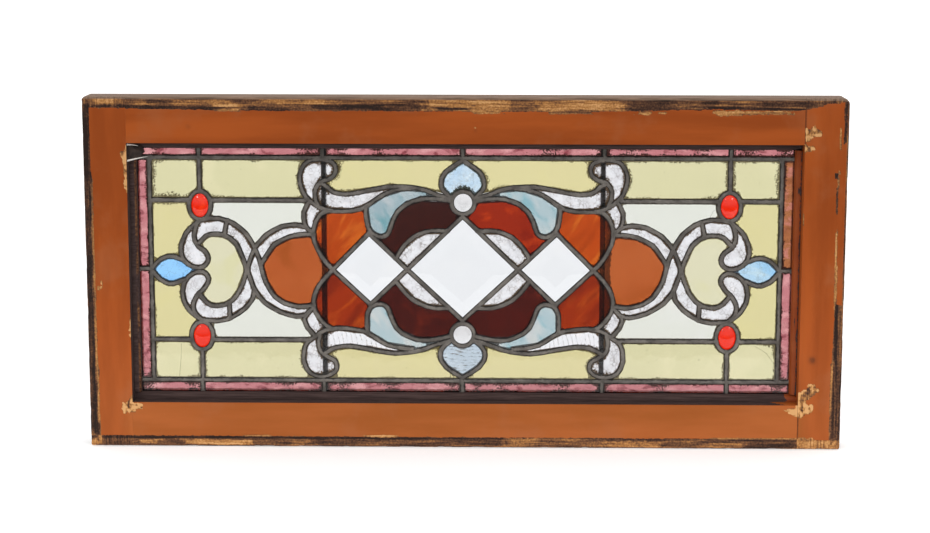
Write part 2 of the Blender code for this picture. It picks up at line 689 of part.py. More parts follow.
def make_beads(parts):
    front = FRONT + REVEAL
    back = front + BEAD
    reach_x = OPENING_X - GAP
    reach_z = OPENING_Z - GAP
    for name, side in (("stop_top", 1), ("stop_bottom", -1)):
        zs = sorted((MID_HEIGHT + side * reach_z, MID_HEIGHT + side * (OPENING_Z - BEAD)))
        bead(name, (-reach_x, front, zs[0]), (reach_x, back, zs[1]), 0, -side, parts)
    for name, side in (("stop_left", -1), ("stop_right", 1)):
        xs = sorted((side * reach_x, side * (OPENING_X - BEAD)))
        ends = OPENING_Z - BEAD - GAP
        bead(name, (xs[0], front, MID_HEIGHT - ends), (xs[1], back, MID_HEIGHT + ends), 2, -side, parts)


def main():
    clear_scene()
    parts = new_collection("stained_glass_window")
    cutters = new_collection("cutters", hidden=True)
    make_stiles(parts, cutters)
    make_rails(parts, cutters)
    make_beads(parts)
    make_leading(parts)
    make_panes(parts)
    make_jewels(parts)
    make_bars(parts)


main()
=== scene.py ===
"""Looks of the stained glass window: lead came, glass, worn painted sash, light and camera.

Places are in millimetres in the row frame: X right, Y back, Z up from the sill edge. The pattern of the panel
has its own points, x from the middle of the panel and z from the line through the bevelled squares.
"""

import math

import bpy
import numpy as np
from mathutils import Matrix, Vector
from mathutils.geometry import delaunay_2d_cdt, interpolate_bezier


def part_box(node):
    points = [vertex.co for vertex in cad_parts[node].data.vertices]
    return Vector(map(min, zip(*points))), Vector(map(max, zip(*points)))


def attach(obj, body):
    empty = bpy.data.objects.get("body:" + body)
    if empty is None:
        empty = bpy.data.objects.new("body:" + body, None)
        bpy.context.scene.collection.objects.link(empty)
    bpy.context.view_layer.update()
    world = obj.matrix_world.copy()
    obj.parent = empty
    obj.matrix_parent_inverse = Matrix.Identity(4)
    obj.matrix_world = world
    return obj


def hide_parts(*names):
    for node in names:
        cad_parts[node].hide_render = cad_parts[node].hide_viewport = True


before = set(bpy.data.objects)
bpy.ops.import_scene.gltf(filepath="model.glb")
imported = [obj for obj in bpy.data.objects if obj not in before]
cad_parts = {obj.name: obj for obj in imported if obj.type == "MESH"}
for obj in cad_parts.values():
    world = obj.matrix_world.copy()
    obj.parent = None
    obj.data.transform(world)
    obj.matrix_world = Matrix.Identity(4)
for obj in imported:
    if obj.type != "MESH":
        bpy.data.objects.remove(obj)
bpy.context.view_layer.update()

MM = 0.001
LATTICE = 64  # points along each side of the noise, which then repeats
SHARP_ANGLE = math.radians(50)  # edges sharper than this aren't shaded smooth
JOINT_GAP = 0.3  # between neighbouring pieces of the sash


def box_mm(node):
    """The lowest and highest corner of a CAD node, in mm."""
    low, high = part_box(node)
    return low / MM, high / MM


PANEL_LOW, PANEL_HIGH = box_mm("leading")
PANEL_MIDDLE = (PANEL_LOW.y + PANEL_HIGH.y) / 2
SASH_LOW = box_mm("rail_bottom")[0]
SASH_HIGH = box_mm("rail_top")[1]
HALF_WIDTH = box_mm("stile_right")[1].x
FRONT, BACK = SASH_LOW.y, SASH_HIGH.y
TOP = SASH_HIGH.z
OPENING_X = box_mm("stop_right")[1].x + JOINT_GAP
OPENING_LOW = box_mm("stop_bottom")[0].z - JOINT_GAP
OPENING_TOP = box_mm("stop_top")[1].z + JOINT_GAP

# Lead
CAME = 5.6  # width of the came, between the outer edges of its flanges
CHANNEL = 1.6  # from the middle of the panel to the inside of a flange
LIP = 1.95  # from the middle of the panel to the rim of a flange
CROWN = 2.85  # from the middle of the panel to the crown of a flange
HEART = 0.7  # half the thickness of the web between the flanges
CURVE_SPACING, STRAIGHT_SPACING = 2.4, 5.0
DRIFT = 2.7  # by which the middle of the hand-made pattern sits to the left
JOINT_REACH = 4.5  # ends of cames closer together than this share one solder joint

# Glass
BARS = ("support_bar_left", "support_bar_right")
GLASS = 3.0  # its thickness
TUCK = 1.35  # by which glass runs on under the flanges, past the outline of its CAD node
SMOOTH_SPACING, RELIEF_SPACING = 4.0, 1.3  # between the points of a pane
BEVEL_WIDTH, BEVEL_DROP = 13.0, 2.0
JEWEL_RISE, RONDEL_RISE = 4.3, 2.2  # height of the dome in front of the rim
RONDEL_RINGS = (0.62, 0.3)  # shares of the rim's radius at which its raised rings lie

# The pattern, as in the CAD source
BORDER_X, BORDER_TOP, BORDER_BOTTOM = 382.5, 136.7, -138.5
JEWEL_X, JEWEL_UPPER_Z, JEWEL_LOWER_Z = 321.0, 78.0, -83.2
JEWEL_RADII = (10.5, 14.6)
JEWEL_LINE_UPPER, JEWEL_LINE_LOWER = 84.5, -88.0
RONDELS = {"rondel_upper": (0.5, 82.2), "rondel_lower": (0, -80.8)}
RONDEL_RADIUS = 11.1
PATTERN_HEIGHT = sum(corner.z for corner in box_mm("rondel_upper")) / 2 - RONDELS["rondel_upper"][1]
OUTER_X = PANEL_HIGH.x - CAME / 2
OUTER_TOP = PANEL_HIGH.z - CAME / 2 - PATTERN_HEIGHT
OUTER_BOTTOM = PANEL_LOW.z + CAME / 2 - PATTERN_HEIGHT

# Centre lines of the curved cames in the left half, in mm
HALF_CURVES = {
    "horseshoe_outer_to_disc": (
        (-322, 60), (-303, 62.2), (-285, 58), (-268.5, 47), (-257.5, 32), (-249, 12),
        (-242.3, -14), (-228.5, -36), (-205, -46.3), (-182.5, -45),
    ),
    "disc_upper": ((-182, 43), (-199, 42.6), (-215, 38.4), (-230, 30), (-238.6, 19.4), (-247.3, 5)),
    "strap": (
        (-190.5, 51.4), (-200, 54.1), (-215, 53.6), (-231, 47.6), (-244, 38.2), (-253, 27.4), (-260, 12),
        (-263.3, -1), (-259.5, -14.5), (-255, -26.5), (-247, -37.6), (-237, -46.3), (-221, -54.4),
        (-205, -58.6), (-192.5, -57.5),
    ),
    "horseshoe_inner": (
        (-323.5, 31), (-313.5, 40.7), (-301, 42.9), (-288.5, 39.9), (-277.5, 30.9), (-270.5, 17), (-265.3, 1),
        (-266.5, -9), (-271.5, -22), (-280, -36), (-291, -44), (-305, -46), (-313.5, -43), (-322.5, -33),
    ),
    "horseshoe_outer_lower": (
        (-255.5, -26), (-258, -37), (-266.5, -48), (-281.5, -59), (-299, -64.6), (-322, -63.5),
    ),
    "teardrop_upper": (
        (-322, 60), (-336.3, 47), (-343.4, 34), (-345.4, 21), (-340.8, 9), (-329.2, 1.9), (-318.1, 2.9),
        (-312.1, 11), (-315, 20.5), (-324.2, 28), (-328.7, 38), (-327.2, 50), (-322, 60),
    ),
    "teardrop_lower": (
        (-322, -63.5), (-334.3, -54), (-342.4, -41), (-344.4, -27), (-340, -14), (-329.3, -5.1), (-318, -4.3),
        (-312, -12.6), (-316.5, -23), (-325.5, -32), (-331.5, -44), (-329.5, -55), (-322, -63.5),
    ),
    "blue_diamond_upper": ((-382.5, -0.6), (-371.5, 11), (-357.5, 15.3), (-341, 10)),
    "blue_diamond_lower": ((-382.5, -1.6), (-371.5, -13.6), (-357.5, -18.7), (-341, -13)),
    "arc_upper": (
        (-160, 71.9), (-170, 69.7), (-178, 60.4), (-182, 47), (-181, 35), (-174.5, 19.4), (-166, 7.4),
        (-158.5, -0.6),
    ),
    "arc_lower": (
        (-158.5, -0.6), (-169, -11.6), (-177.5, -23), (-182.3, -36), (-181.8, -49), (-177, -59),
        (-168.5, -69), (-160, -74),
    ),
    "small_white_upper": ((-187, 83), (-191.5, 75), (-193.8, 65), (-190.5, 51.4), (-182, 45)),
    "small_white_lower": (
        (-182.3, -47), (-189.5, -54), (-194, -61), (-192.5, -68), (-189.5, -74), (-180, -84.5),
    ),
    "scroll_upper": (
        (-175.5, 78), (-179.3, 87), (-179, 98), (-173, 106.5), (-161.5, 111), (-154.8, 118), (-155.5, 128),
        (-165, 133.7), (-178, 134.2), (-190.5, 130), (-198, 115), (-195.5, 98), (-188.7, 86.5), (-174, 76),
        (-160, 71.8), (-140, 71.5), (-124, 74.3), (-113.5, 80), (-104, 87), (-92, 93.7), (-78, 98.2),
        (-62, 99.8),
    ),
    "scroll_lower": (
        (-175, -80), (-177, -92), (-174, -103), (-165.5, -109.3), (-156.5, -115), (-155.5, -125),
        (-163, -131.5), (-175, -133.8), (-187.5, -129.5), (-194.5, -118), (-195.5, -105), (-191.5, -92),
        (-182, -84.5), (-171, -77), (-155, -73.4), (-139, -73.8), (-122, -76.8), (-112, -81.3), (-103, -88),
        (-92, -93.8), (-76, -97.6), (-60, -98.8),
    ),
    "crown_upper": (
        (-173, 106), (-166, 102), (-157.5, 95), (-145, 92.3), (-128, 94), (-108, 98.2), (-88, 101.4),
        (-66, 101.2), (-48, 98.3), (-30, 91.4), (-12, 87),
    ),
    "crown_lower": (
        (-170, -105), (-158.5, -98.5), (-142.5, -95.6), (-118, -98.6), (-92, -103.6), (-72, -103.8),
        (-52, -100.6), (-36, -94.6), (-12, -87),
    ),
    "crescent_upper": (
        (-118, 77), (-117.8, 67), (-116.2, 56.5), (-112.5, 47.5), (-105.5, 41.8), (-98, 40.3), (-91.2, 43.8),
        (-87.4, 52), (-84, 62.5), (-78, 72), (-68, 80.5), (-53, 86), (-36, 87.1), (-12, 84),
    ),
    "crescent_lower": (
        (-116.8, -79), (-117.3, -66), (-116.6, -55.5), (-112.2, -46.8), (-105, -43.2), (-97.2, -43.5),
        (-91.2, -48.6), (-88, -57.5), (-84.3, -67), (-79, -75), (-70, -81.5), (-55, -87.1), (-38, -87.4),
        (-12, -82),
    ),
    "lens_upper": ((-17, 47.2), (-38, 47.6), (-56, 42), (-70, 30.6), (-81.5, 13.4)),
    "lens_lower": ((-16, -47.6), (-34, -47.7), (-51, -43.1), (-66, -33.1), (-82.5, -13.6)),
    "heart_upper": ((0, 134.4), (-12, 126.1), (-21.5, 118.4), (-26, 108), (-24.5, 98.4), (-12, 86)),
    "heart_lower": ((0, -134.5), (-11, -128.1), (-21, -120.1), (-27.3, -109), (-25, -97.6), (-12, -86)),
}

JEWEL_LEFT, JEWEL_RIGHT = -333.5, -308.5  # x at which the level lines stop beside a jewel
DIAMOND = ((-158.5, -0.6), (-114, 44.4), (-67.5, -0.1), (-112.7, -43.6))  # corners of the left square

# Ends of the straight cames in the left half, in mm
HALF_LINES = {
    "border_side": ((-BORDER_X, BORDER_BOTTOM), (-BORDER_X, BORDER_TOP)),
    "jewel_line_upper_outer": ((-BORDER_X, JEWEL_LINE_UPPER), (JEWEL_LEFT, JEWEL_LINE_UPPER)),
    "jewel_line_upper_inner": ((JEWEL_RIGHT, JEWEL_LINE_UPPER), (-190, JEWEL_LINE_UPPER)),
    "jewel_line_lower_outer": ((-BORDER_X, JEWEL_LINE_LOWER), (JEWEL_LEFT, JEWEL_LINE_LOWER)),
    "jewel_line_lower_inner": ((JEWEL_RIGHT, JEWEL_LINE_LOWER), (-190, JEWEL_LINE_LOWER)),
    "jewel_post_upper": ((-JEWEL_X, BORDER_TOP), (-JEWEL_X, 94)),
    "jewel_post_lower": ((-JEWEL_X, BORDER_BOTTOM), (-JEWEL_X, -99)),
    "horseshoe_tie_upper": ((-288.2, 59), (-291.8, 41)),
    "horseshoe_tie_lower": ((-287, -43), (-286, -60)),
    **{f"diamond_side_{k + 1}": (DIAMOND[k], DIAMOND[(k + 1) % 4]) for k in range(4)},
    "centre_side_upper": (DIAMOND[2], (0, 65.4)),
    "centre_side_lower": (DIAMOND[2], (0, -63.1)),
    "border_tie_side": ((-BORDER_X, 0), (-400, 0)),
}
BORDER_TIES = (-321.5, -170.5, 0, 170.5, 321.5)  # x of the short cames between the pink strips

BORDER_STRIPS = {"outer": -360, "middle": -250, "inner": -85}  # x of a point inside each level pink strip

# A point inside each small textured piece of the left half, and inside each strip of the border, in mm
SMALL_PIECES = {
    "teardrop_upper": (-335, 25),
    "teardrop_lower": (-335, -28),
    "horseshoe_white_upper_outer": (-307, 52),
    "horseshoe_white_upper_inner": (-268, 33),
    "horseshoe_white_lower_outer": (-305, -55),
    "horseshoe_white_lower_inner": (-272, -38),
    "strap_upper": (-233, 39),
    "strap_lower": (-234, -42),
    "small_white_upper": (-185, 65),
    "small_white_lower": (-185, -66),
    "scroll_upper": (-188, 110),
    "scroll_lower": (-186, -112),
    "leaf_upper": (-145, 83),
    "leaf_lower": (-150, -84),
    "lens_upper": (-57, 27),
    "lens_lower": (-57, -27),
    **{f"border_top_{place}": (x, 145) for place, x in BORDER_STRIPS.items()},
    **{f"border_bottom_{place}": (x, -145) for place, x in BORDER_STRIPS.items()},
    "border_side_upper": (-391.5, 65),
    "border_side_lower": (-391.5, -65),
}

# Cracks in the glass, as points in the row frame, in mm
CRACKS = {
    "corner_pane_lower_right": (((354.8, 121.6), (368.4, 112.9), (377.8, 100.4)),),
    "corner_pane_lower_left": (((-347.7, 121.6), (-348.9, 101.6), (-350.8, 81.5)),),
    "clear_pane_upper_right": (((301.7, 289.5), (299.3, 285.8), (297.0, 282.1)),),
    "blue_diamond_left": (((-343.8, 208.7), (-344.6, 202.5)),),
}
CRACK_WIDTH, CRACK_DEPTH = 0.7, 0.6

# Where the glass is dirtiest: x, z and radius in mm, and strength
GRIME_SPOTS = (
    (-363, 311, 22, 0.9), (-374, 335, 16, 0.7), (-300, 305, 12, 0.5), (-154, 336, 16, 0.8),
    (-139, 313, 12, 0.5), (30, 331, 14, 0.6), (-2, 313, 14, 1.3), (158, 337, 18, 0.9),
    (197, 325, 16, 0.7), (51, 318, 14, 0.5), (375, 328, 16, 0.6), (322, 332, 14, 0.6),
    (298, 309, 12, 0.6), (369, 134, 12, 0.5), (378, 117, 12, 0.6), (163, 116, 14, 0.8),
    (-162, 109, 10, 0.5), (388, 360, 14, 0.8), (386, 82, 10, 0.8), (-390, 80, 10, 0.7),
    (-190, 360, 16, 0.9), (-150, 361, 9, 0.9), (-106, 361, 8, 0.8), (-375, 361, 6, 0.7),
    (-215, 70, 8, 0.9), (-390, 70, 9, 1.2), (-335, 70, 7, 1.0), (-150, 68, 8, 1.0), (-90, 68, 9, 0.9),
    (-15, 70, 9, 1.2), (15, 70, 6, 1.0), (45, 68, 8, 0.8), (100, 363, 12, 0.7), (200, 363, 16, 0.8),
    (285, 363, 12, 0.9), (340, 363, 12, 0.9), (386, 363, 10, 1.2), (120, 68, 10, 0.9),
    (240, 68, 12, 0.9), (384, 70, 9, 1.3), (-155, 340, 8, 1.5),
)


def ease(low, high, value):
    """0 below low, 1 above high, smooth between."""
    t = np.clip((np.asarray(value, float) - low) / (high - low), 0, 1)
    return t * t * (3 - 2 * t)


def in_cells(x, z, cell):
    """The places in cells of this size, and the number of the cell that each is in."""
    u, v = np.asarray(x, float) / cell, np.asarray(z, float) / cell
    return u, v, np.floor(u).astype(int), np.floor(v).astype(int)


def noise(x, z, cell, seed):
    """Smooth noise from 0 to 1 over the plane, with lattice points this far apart."""
    lattice = np.random.default_rng(seed).random((LATTICE, LATTICE))
    u, v, i, j = in_cells(x, z, cell)
    fu, fv = ease(0, 1, u - i), ease(0, 1, v - j)

    def at(a, b):
        return lattice[a % LATTICE, b % LATTICE]

    low = at(i, j) * (1 - fu) + at(i + 1, j) * fu
    high = at(i, j + 1) * (1 - fu) + at(i + 1, j + 1) * fu
    return low * (1 - fv) + high * fv


def layered(x, z, cell, seed, layers=3):
    """Noise with finer, weaker layers added, still about 0 to 1."""
    total = sum(noise(x, z, cell / 2**k, seed + k) / 2**k for k in range(layers))
    return total / (2 - 2 ** (1 - layers))


def pebbles(x, z, cell, seed):
    """Distance to the nearest of scattered points, as a share of their spacing."""
    jitter = np.random.default_rng(seed).random((LATTICE, LATTICE, 2))
    u, v, i, j = in_cells(x, z, cell)
    nearest = np.full(u.shape, np.inf)
    for di in (-1, 0, 1):
        for dj in (-1, 0, 1):
            spot = jitter[(i + di) % LATTICE, (j + dj) % LATTICE]
            nearest = np.minimum(nearest, np.hypot(i + di + spot[..., 0] - u, j + dj + spot[..., 1] - v))
    return nearest


def spotted(x, z, spots):
    """The strongest at each point of some soft round spots, each with its x, z, radius and strength."""
    found = np.zeros(len(x))
    for at_x, at_z, radius, strength in spots:
        found = np.maximum(found, strength * np.exp(-((x - at_x) ** 2 + (z - at_z) ** 2) / radius**2))
    return found


def piece(name, points, faces, material, nodes=(), values=None, smooth=True):
    """A piece of the visual model from points in mm, with named values at the points for its material."""
    mesh = bpy.data.meshes.new(name)
    mesh.from_pydata((np.asarray(points, float) * MM).tolist(), [], faces)
    for key, numbers in (values or {}).items():
        attribute = mesh.attributes.new(key, "FLOAT", "POINT")
        attribute.data.foreach_set("value", np.asarray(numbers, np.float32))
    if smooth:
        mesh.shade_smooth()
        mesh.set_sharp_from_angle(angle=SHARP_ANGLE)
    mesh.materials.append(material)
    obj = bpy.data.objects.new(name, mesh)
    bpy.context.scene.collection.objects.link(obj)
    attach(obj, "root")
    if nodes:
        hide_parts(*nodes)


class Gathered:
    """Points and faces of several shells, gathered for one piece."""

    def __init__(self):
        self.points, self.faces, self.values = [], [], {}
        self.count = 0

    def add(self, points, faces, **values):
        self.points.append(np.asarray(points, float))
        self.faces += [tuple(int(i) + self.count for i in face) for face in faces]
        for key, numbers in values.items():
            self.values.setdefault(key, []).append(np.asarray(numbers, float))
        self.count += len(points)

    def make(self, name, material, nodes=()):
        values = {key: np.concatenate(found) for key, found in self.values.items()}
        piece(name, np.concatenate(self.points), self.faces, material, nodes, values)


# Lead came


def placed(points):
    """Points of the pattern as x and z in the row frame, in mm, with the drift of the hand-made pattern."""
    points = np.asarray(points, float).reshape(-1, 2)
    drift = DRIFT * np.maximum(0, 1 - (points[:, 0] / BORDER_X) ** 2)
    return np.stack([points[:, 0] - drift, points[:, 1] + PATTERN_HEIGHT], 1)


def smooth_line(knots, spacing):
    """Points along a smooth curve through the knots."""
    knots = [Vector(knot) for knot in knots]
    points = []
    for i, (start, end) in enumerate(zip(knots, knots[1:])):
        before = knots[max(i - 1, 0)]
        after = knots[min(i + 2, len(knots) - 1)]
        reach = (end - start).length / 3
        leaving = start + (end - before).normalized() * reach
        arriving = end - (after - start).normalized() * reach
        steps = max(2, math.ceil((end - start).length / spacing))
        points += [tuple(p) for p in interpolate_bezier(start, leaving, arriving, end, steps + 1)[:-1]]
    return np.array(points + [tuple(knots[-1])])


def straight_line(start, end, spacing):
    start, end = np.array(start, float), np.array(end, float)
    steps = max(1, math.ceil(np.linalg.norm(end - start) / spacing))
    return start + (end - start) * np.linspace(0, 1, steps + 1)[:, None]


def ring(middle, radii, spacing):
    sides = math.ceil(2 * math.pi * max(radii) / spacing)
    turns = np.arange(sides) * 2 * math.pi / sides
    return np.stack([middle[0] + radii[0] * np.cos(turns), middle[1] + radii[1] * np.sin(turns)], 1)


def mirrored(points):
    return np.asarray(points, float) * (-1, 1)


def came_lines():
    """Every came's centre line in the row frame, with True for one that closes on itself."""
    lines = []
    for knots in HALF_CURVES.values():
        curve = smooth_line(knots, CURVE_SPACING)
        lines += [(curve, False), (mirrored(curve), False)]
    for start, end in HALF_LINES.values():
        line = straight_line(start, end, STRAIGHT_SPACING)
        lines += [(line, False), (mirrored(line), False)]
    for z in (BORDER_TOP, BORDER_BOTTOM, OUTER_TOP, OUTER_BOTTOM):
        lines.append((straight_line((-OUTER_X, z), (OUTER_X, z), STRAIGHT_SPACING), False))
    for x in (OUTER_X, -OUTER_X):
        lines.append((straight_line((x, OUTER_BOTTOM), (x, OUTER_TOP), STRAIGHT_SPACING), False))
    for x in BORDER_TIES:
        lines.append((straight_line((x, BORDER_TOP), (x, OUTER_TOP), STRAIGHT_SPACING), False))
        lines.append((straight_line((x, BORDER_BOTTOM), (x, OUTER_BOTTOM), STRAIGHT_SPACING), False))
    for x in (-JEWEL_X, JEWEL_X):
        for z in (JEWEL_UPPER_Z, JEWEL_LOWER_Z):
            radii = [radius + CAME / 2 for radius in JEWEL_RADII]
            lines.append((ring((x, z), radii, CURVE_SPACING), True))
    for spot in RONDELS.values():
        lines.append((ring(spot, (RONDEL_RADIUS + CAME / 2,) * 2, CURVE_SPACING), True))
    return [(placed(points), closed) for points, closed in lines]


def came_section():
    """The H of the came, as (across, deep) in mm: rounded flanges front and back, and channels between."""
    turns = np.linspace(-math.pi / 2, math.pi / 2, 7)
    half = CAME / 2
    front = [(half * math.sin(a), -LIP - (CROWN - LIP) * math.cos(a)) for a in turns]
    back = [(half * math.sin(a), LIP + (CROWN - LIP) * math.cos(a)) for a in turns[::-1]]
    right = [(half, -CHANNEL), (HEART, -CHANNEL), (HEART, CHANNEL), (half, CHANNEL)]
    left = [(-half, CHANNEL), (-HEART, CHANNEL), (-HEART, -CHANNEL), (-half, -CHANNEL)]
    return np.array(front + right + back + left)


def across_of(points, closed):
    """The unit vector across the line at each of its points."""
    if closed:
        run = np.roll(points, -1, 0) - np.roll(points, 1, 0)
    else:
        run = np.gradient(points, axis=0)
    run /= np.linalg.norm(run, axis=1)[:, None]
    return np.stack([-run[:, 1], run[:, 0]], 1)


def sweep_came(gathered, points, closed, seed):
    """A length of came along a line, a little uneven in width and height as soft lead is."""
    section = came_section()
    across = across_of(points, closed)
    wide = 0.95 + 0.14 * noise(points[:, 0] + 31 * seed, points[:, 1], 9, 3)
    dents = 0.26 * (layered(points[:, 0], points[:, 1] + 17 * seed, 6, 8) - 0.5)
    u = section[None, :, 0] * wide[:, None]
    crowned = np.abs(section[:, 1]) > LIP + 0.01
    v = section[None, :, 1] + dents[:, None] * crowned
    plane = points[:, None, :] + across[:, None, :] * u[:, :, None]
    verts = np.stack([plane[:, :, 0], PANEL_MIDDLE + v, plane[:, :, 1]], 2).reshape(-1, 3)
    rows, size = len(points), len(section)
    rim = np.tile(np.abs(section[:, 0]) / (CAME / 2), rows)
    faces = []
    for i in range(rows if closed else rows - 1):
        here, there = i * size, (i + 1) % rows * size
        for k in range(size):
            after = (k + 1) % size
            faces.append((here + k, there + k, there + after, here + after))
    if not closed:
        faces.append(tuple(range(size)))
        faces.append(tuple(range((rows - 1) * size, rows * size))[::-1])
    gathered.add(verts, faces, rim=rim)


def nearest_line(end, lines):
    """The line that passes nearest to the end: its distance, the number of its nearest point, the line."""
    found = []
    for line in lines:
        gaps = np.linalg.norm(line[0] - end, axis=1)
        found.append((gaps.min(), int(gaps.argmin()), line))
    return min(found, key=lambda item: item[0])


def directions_at(points, closed, k):
    """The directions in which a line leaves its point number k: one only from an end."""
    run = points[min(k + 1, len(points) - 1)] - points[max(k - 1, 0)]
    run /= np.linalg.norm(run)
    if closed or 0 < k < len(points) - 1:
        return [run, -run]
    return [run if k == 0 else -run]


def joints_of(lines):
    """Where cames meet: a place, and the directions in which they leave it."""
    found = []
    for i, (points, closed) in enumerate(lines):
        if closed:
            continue
        for end, inward in ((points[0], points[1] - points[0]), (points[-1], points[-2] - points[-1])):
            gap, k, (others, ring_shaped) = nearest_line(end, lines[:i] + lines[i + 1 :])
            if gap >= CAME:
                continue
            directions = [inward / np.linalg.norm(inward), *directions_at(others, ring_shaped, k)]
            same = [joint for joint in found if np.linalg.norm(joint[0] - others[k]) < JOINT_REACH]
            if same:
                same[0][1].extend(directions)
            else:
                found.append((others[k], directions))
    return found


def off_the_rondels(spot):
    """The spot moved out to the edge of a rondel's glass where it lies on it."""
    kept_off = RONDEL_RADIUS + 0.4
    for centre in placed(list(RONDELS.values())):
        gap = np.linalg.norm(spot - centre)
        if 0 < gap < kept_off:
            return centre + (spot - centre) * kept_off / gap
    return spot


def mound_reach(turns, directions, rng):
    """How far a mound of solder reaches at each turn about its joint: furthest along each came."""
    tongue_spread = 0.62  # radians
    reach = np.full(len(turns), 2.9 + 0.5 * rng.random())
    for direction in directions:
        angle = math.atan2(direction[1], direction[0])
        off = np.angle(np.exp(1j * (turns - angle)))
        tongue = 4.6 + 1.6 * rng.random()
        reach = np.maximum(reach, tongue * np.exp(-((off / tongue_spread) ** 2)))
    return reach * (0.94 + 0.12 * rng.random(len(turns)))


def solder(gathered, place, directions, seed):
    """A low smooth mound of solder over a joint, drawn out along each came, in front and behind."""
    sides, rings = 28, 5
    foot = LIP - 0.1
    rng = np.random.default_rng(seed)
    turns = np.arange(sides) * 2 * math.pi / sides
    reach = mound_reach(turns, directions, rng)
    peak = CROWN + 0.05 + 0.2 * rng.random()
    for side in (-1, 1):
        points = [(place[0], PANEL_MIDDLE + side * peak, place[1])]
        rim = [0.0]
        for k in range(1, rings + 1):
            share = k / rings
            deep = foot + (peak - foot) * math.sqrt(1 - share**2.2)
            for turn, far in zip(turns, reach):
                x, z = off_the_rondels(place + far * share * np.array((math.cos(turn), math.sin(turn))))
                points.append((x, PANEL_MIDDLE + side * deep, z))
                rim.append(share**2 * float(ease(4.2, 3.4, far)))
        faces = []
        for s in range(sides):
            after = (s + 1) % sides
            faces.append((0, 1 + s, 1 + after))
            for k in range(rings - 1):
                low, high = 1 + k * sides, 1 + (k + 1) * sides
                faces.append((low + s, high + s, high + after, low + after))
        if side > 0:
            faces = [face[::-1] for face in faces]
        gathered.add(points, faces, rim=rim)


def make_lead():
    lines = came_lines()
    lattice = Gathered()
    for seed, (points, closed) in enumerate(lines):
        sweep_came(lattice, points, closed, seed)
    lead = lead_material("weathered_lead", "5A5550", "827C75", roughness=0.42)
    lattice.make("lead_lattice", lead, ["leading"])
    joints = Gathered()
    for seed, (place, directions) in enumerate(joints_of(lines)):
        solder(joints, place, directions, seed)
    tinned = lead_material("tinned_solder", "504B46", "77716B", roughness=0.36)
    joints.make("solder_joints", tinned)


# Glass


def outlines_of(obj, facing, deep):
    """The outlines of each flat area of a CAD node that faces forward (-1) or back (1) at this depth."""
    spots, same = {}, []
    for vertex in obj.data.vertices:
        key = tuple(round(c / MM, 2) for c in vertex.co)
        same.append(spots.setdefault(key, len(spots)))
    places = list(spots)
    flat = []
    for polygon in obj.data.polygons:
        face = [same[i] for i in polygon.vertices]
        level = sum(places[i][1] for i in face) / len(face)
        if polygon.normal.y * facing >= 0.9 and abs(level - deep) <= 0.2:
            flat.append(face)
    follow = dict(rim_edges(flat))
    loops = []
    while follow:
        start = next(iter(follow))
        loop = [start]
        while loop[-1] in follow:
            loop.append(follow.pop(loop[-1]))
        outline = np.array([(places[i][0], places[i][2]) for i in loop[:-1]])
        loops.append(outline if area_of(outline) > 0 else outline[::-1])
    return loops


def area_of(outline):
    x, z = outline[:, 0], outline[:, 1]
    return (x * np.roll(z, -1) - z * np.roll(x, -1)).sum() / 2


def grown(outline, amount):
    """The outline moved outwards by this much, sharp tips cut short."""
    outline = without_doubles(outline)
    run = np.roll(outline, -1, 0) - outline
    run /= np.linalg.norm(run, axis=1)[:, None]
    out = np.stack([run[:, 1], -run[:, 0]], 1)
    before = np.roll(out, 1, 0)
    square = 1 + (out * before).sum(1)
    return outline + amount * (out + before) / np.maximum(square, 0.45)[:, None]


def without_doubles(outline, least=0.05):
    keep = np.linalg.norm(outline - np.roll(outline, 1, 0), axis=1) > least
    return outline[keep]


def resampled(outline, spacing):
    """The outline with points added so that none of its sides is longer than the spacing."""
    points = []
    for start, end in zip(outline, np.roll(outline, -1, 0)):
        steps = max(1, math.ceil(np.linalg.norm(end - start) / spacing))
        points += [start + (end - start) * k / steps for k in range(steps)]
    return np.array(points)


def edge_distance(points, outline):
    """How far inside the outline each point is, in mm, and less than 0 outside it."""
    start, end = outline, np.roll(outline, -1, 0)
    run = end - start
    square = (run**2).sum(1)
    off = points[:, None, :] - start[None]
    t = np.clip((off * run[None]).sum(2) / square[None], 0, 1)
    gap = np.linalg.norm(off - t[..., None] * run[None], axis=2).min(1)
    crossing = (start[None, :, 1] > points[:, None, 1]) != (end[None, :, 1] > points[:, None, 1])
    rise = np.where(np.abs(run[:, 1]) < 1e-9, 1e-9, run[:, 1])
    at = start[None, :, 0] + (points[:, None, 1] - start[None, :, 1]) * (run[:, 0] / rise)[None]
    inside = (crossing & (points[:, None, 0] < at)).sum(1) % 2 == 1
    return np.where(inside, gap, -gap)


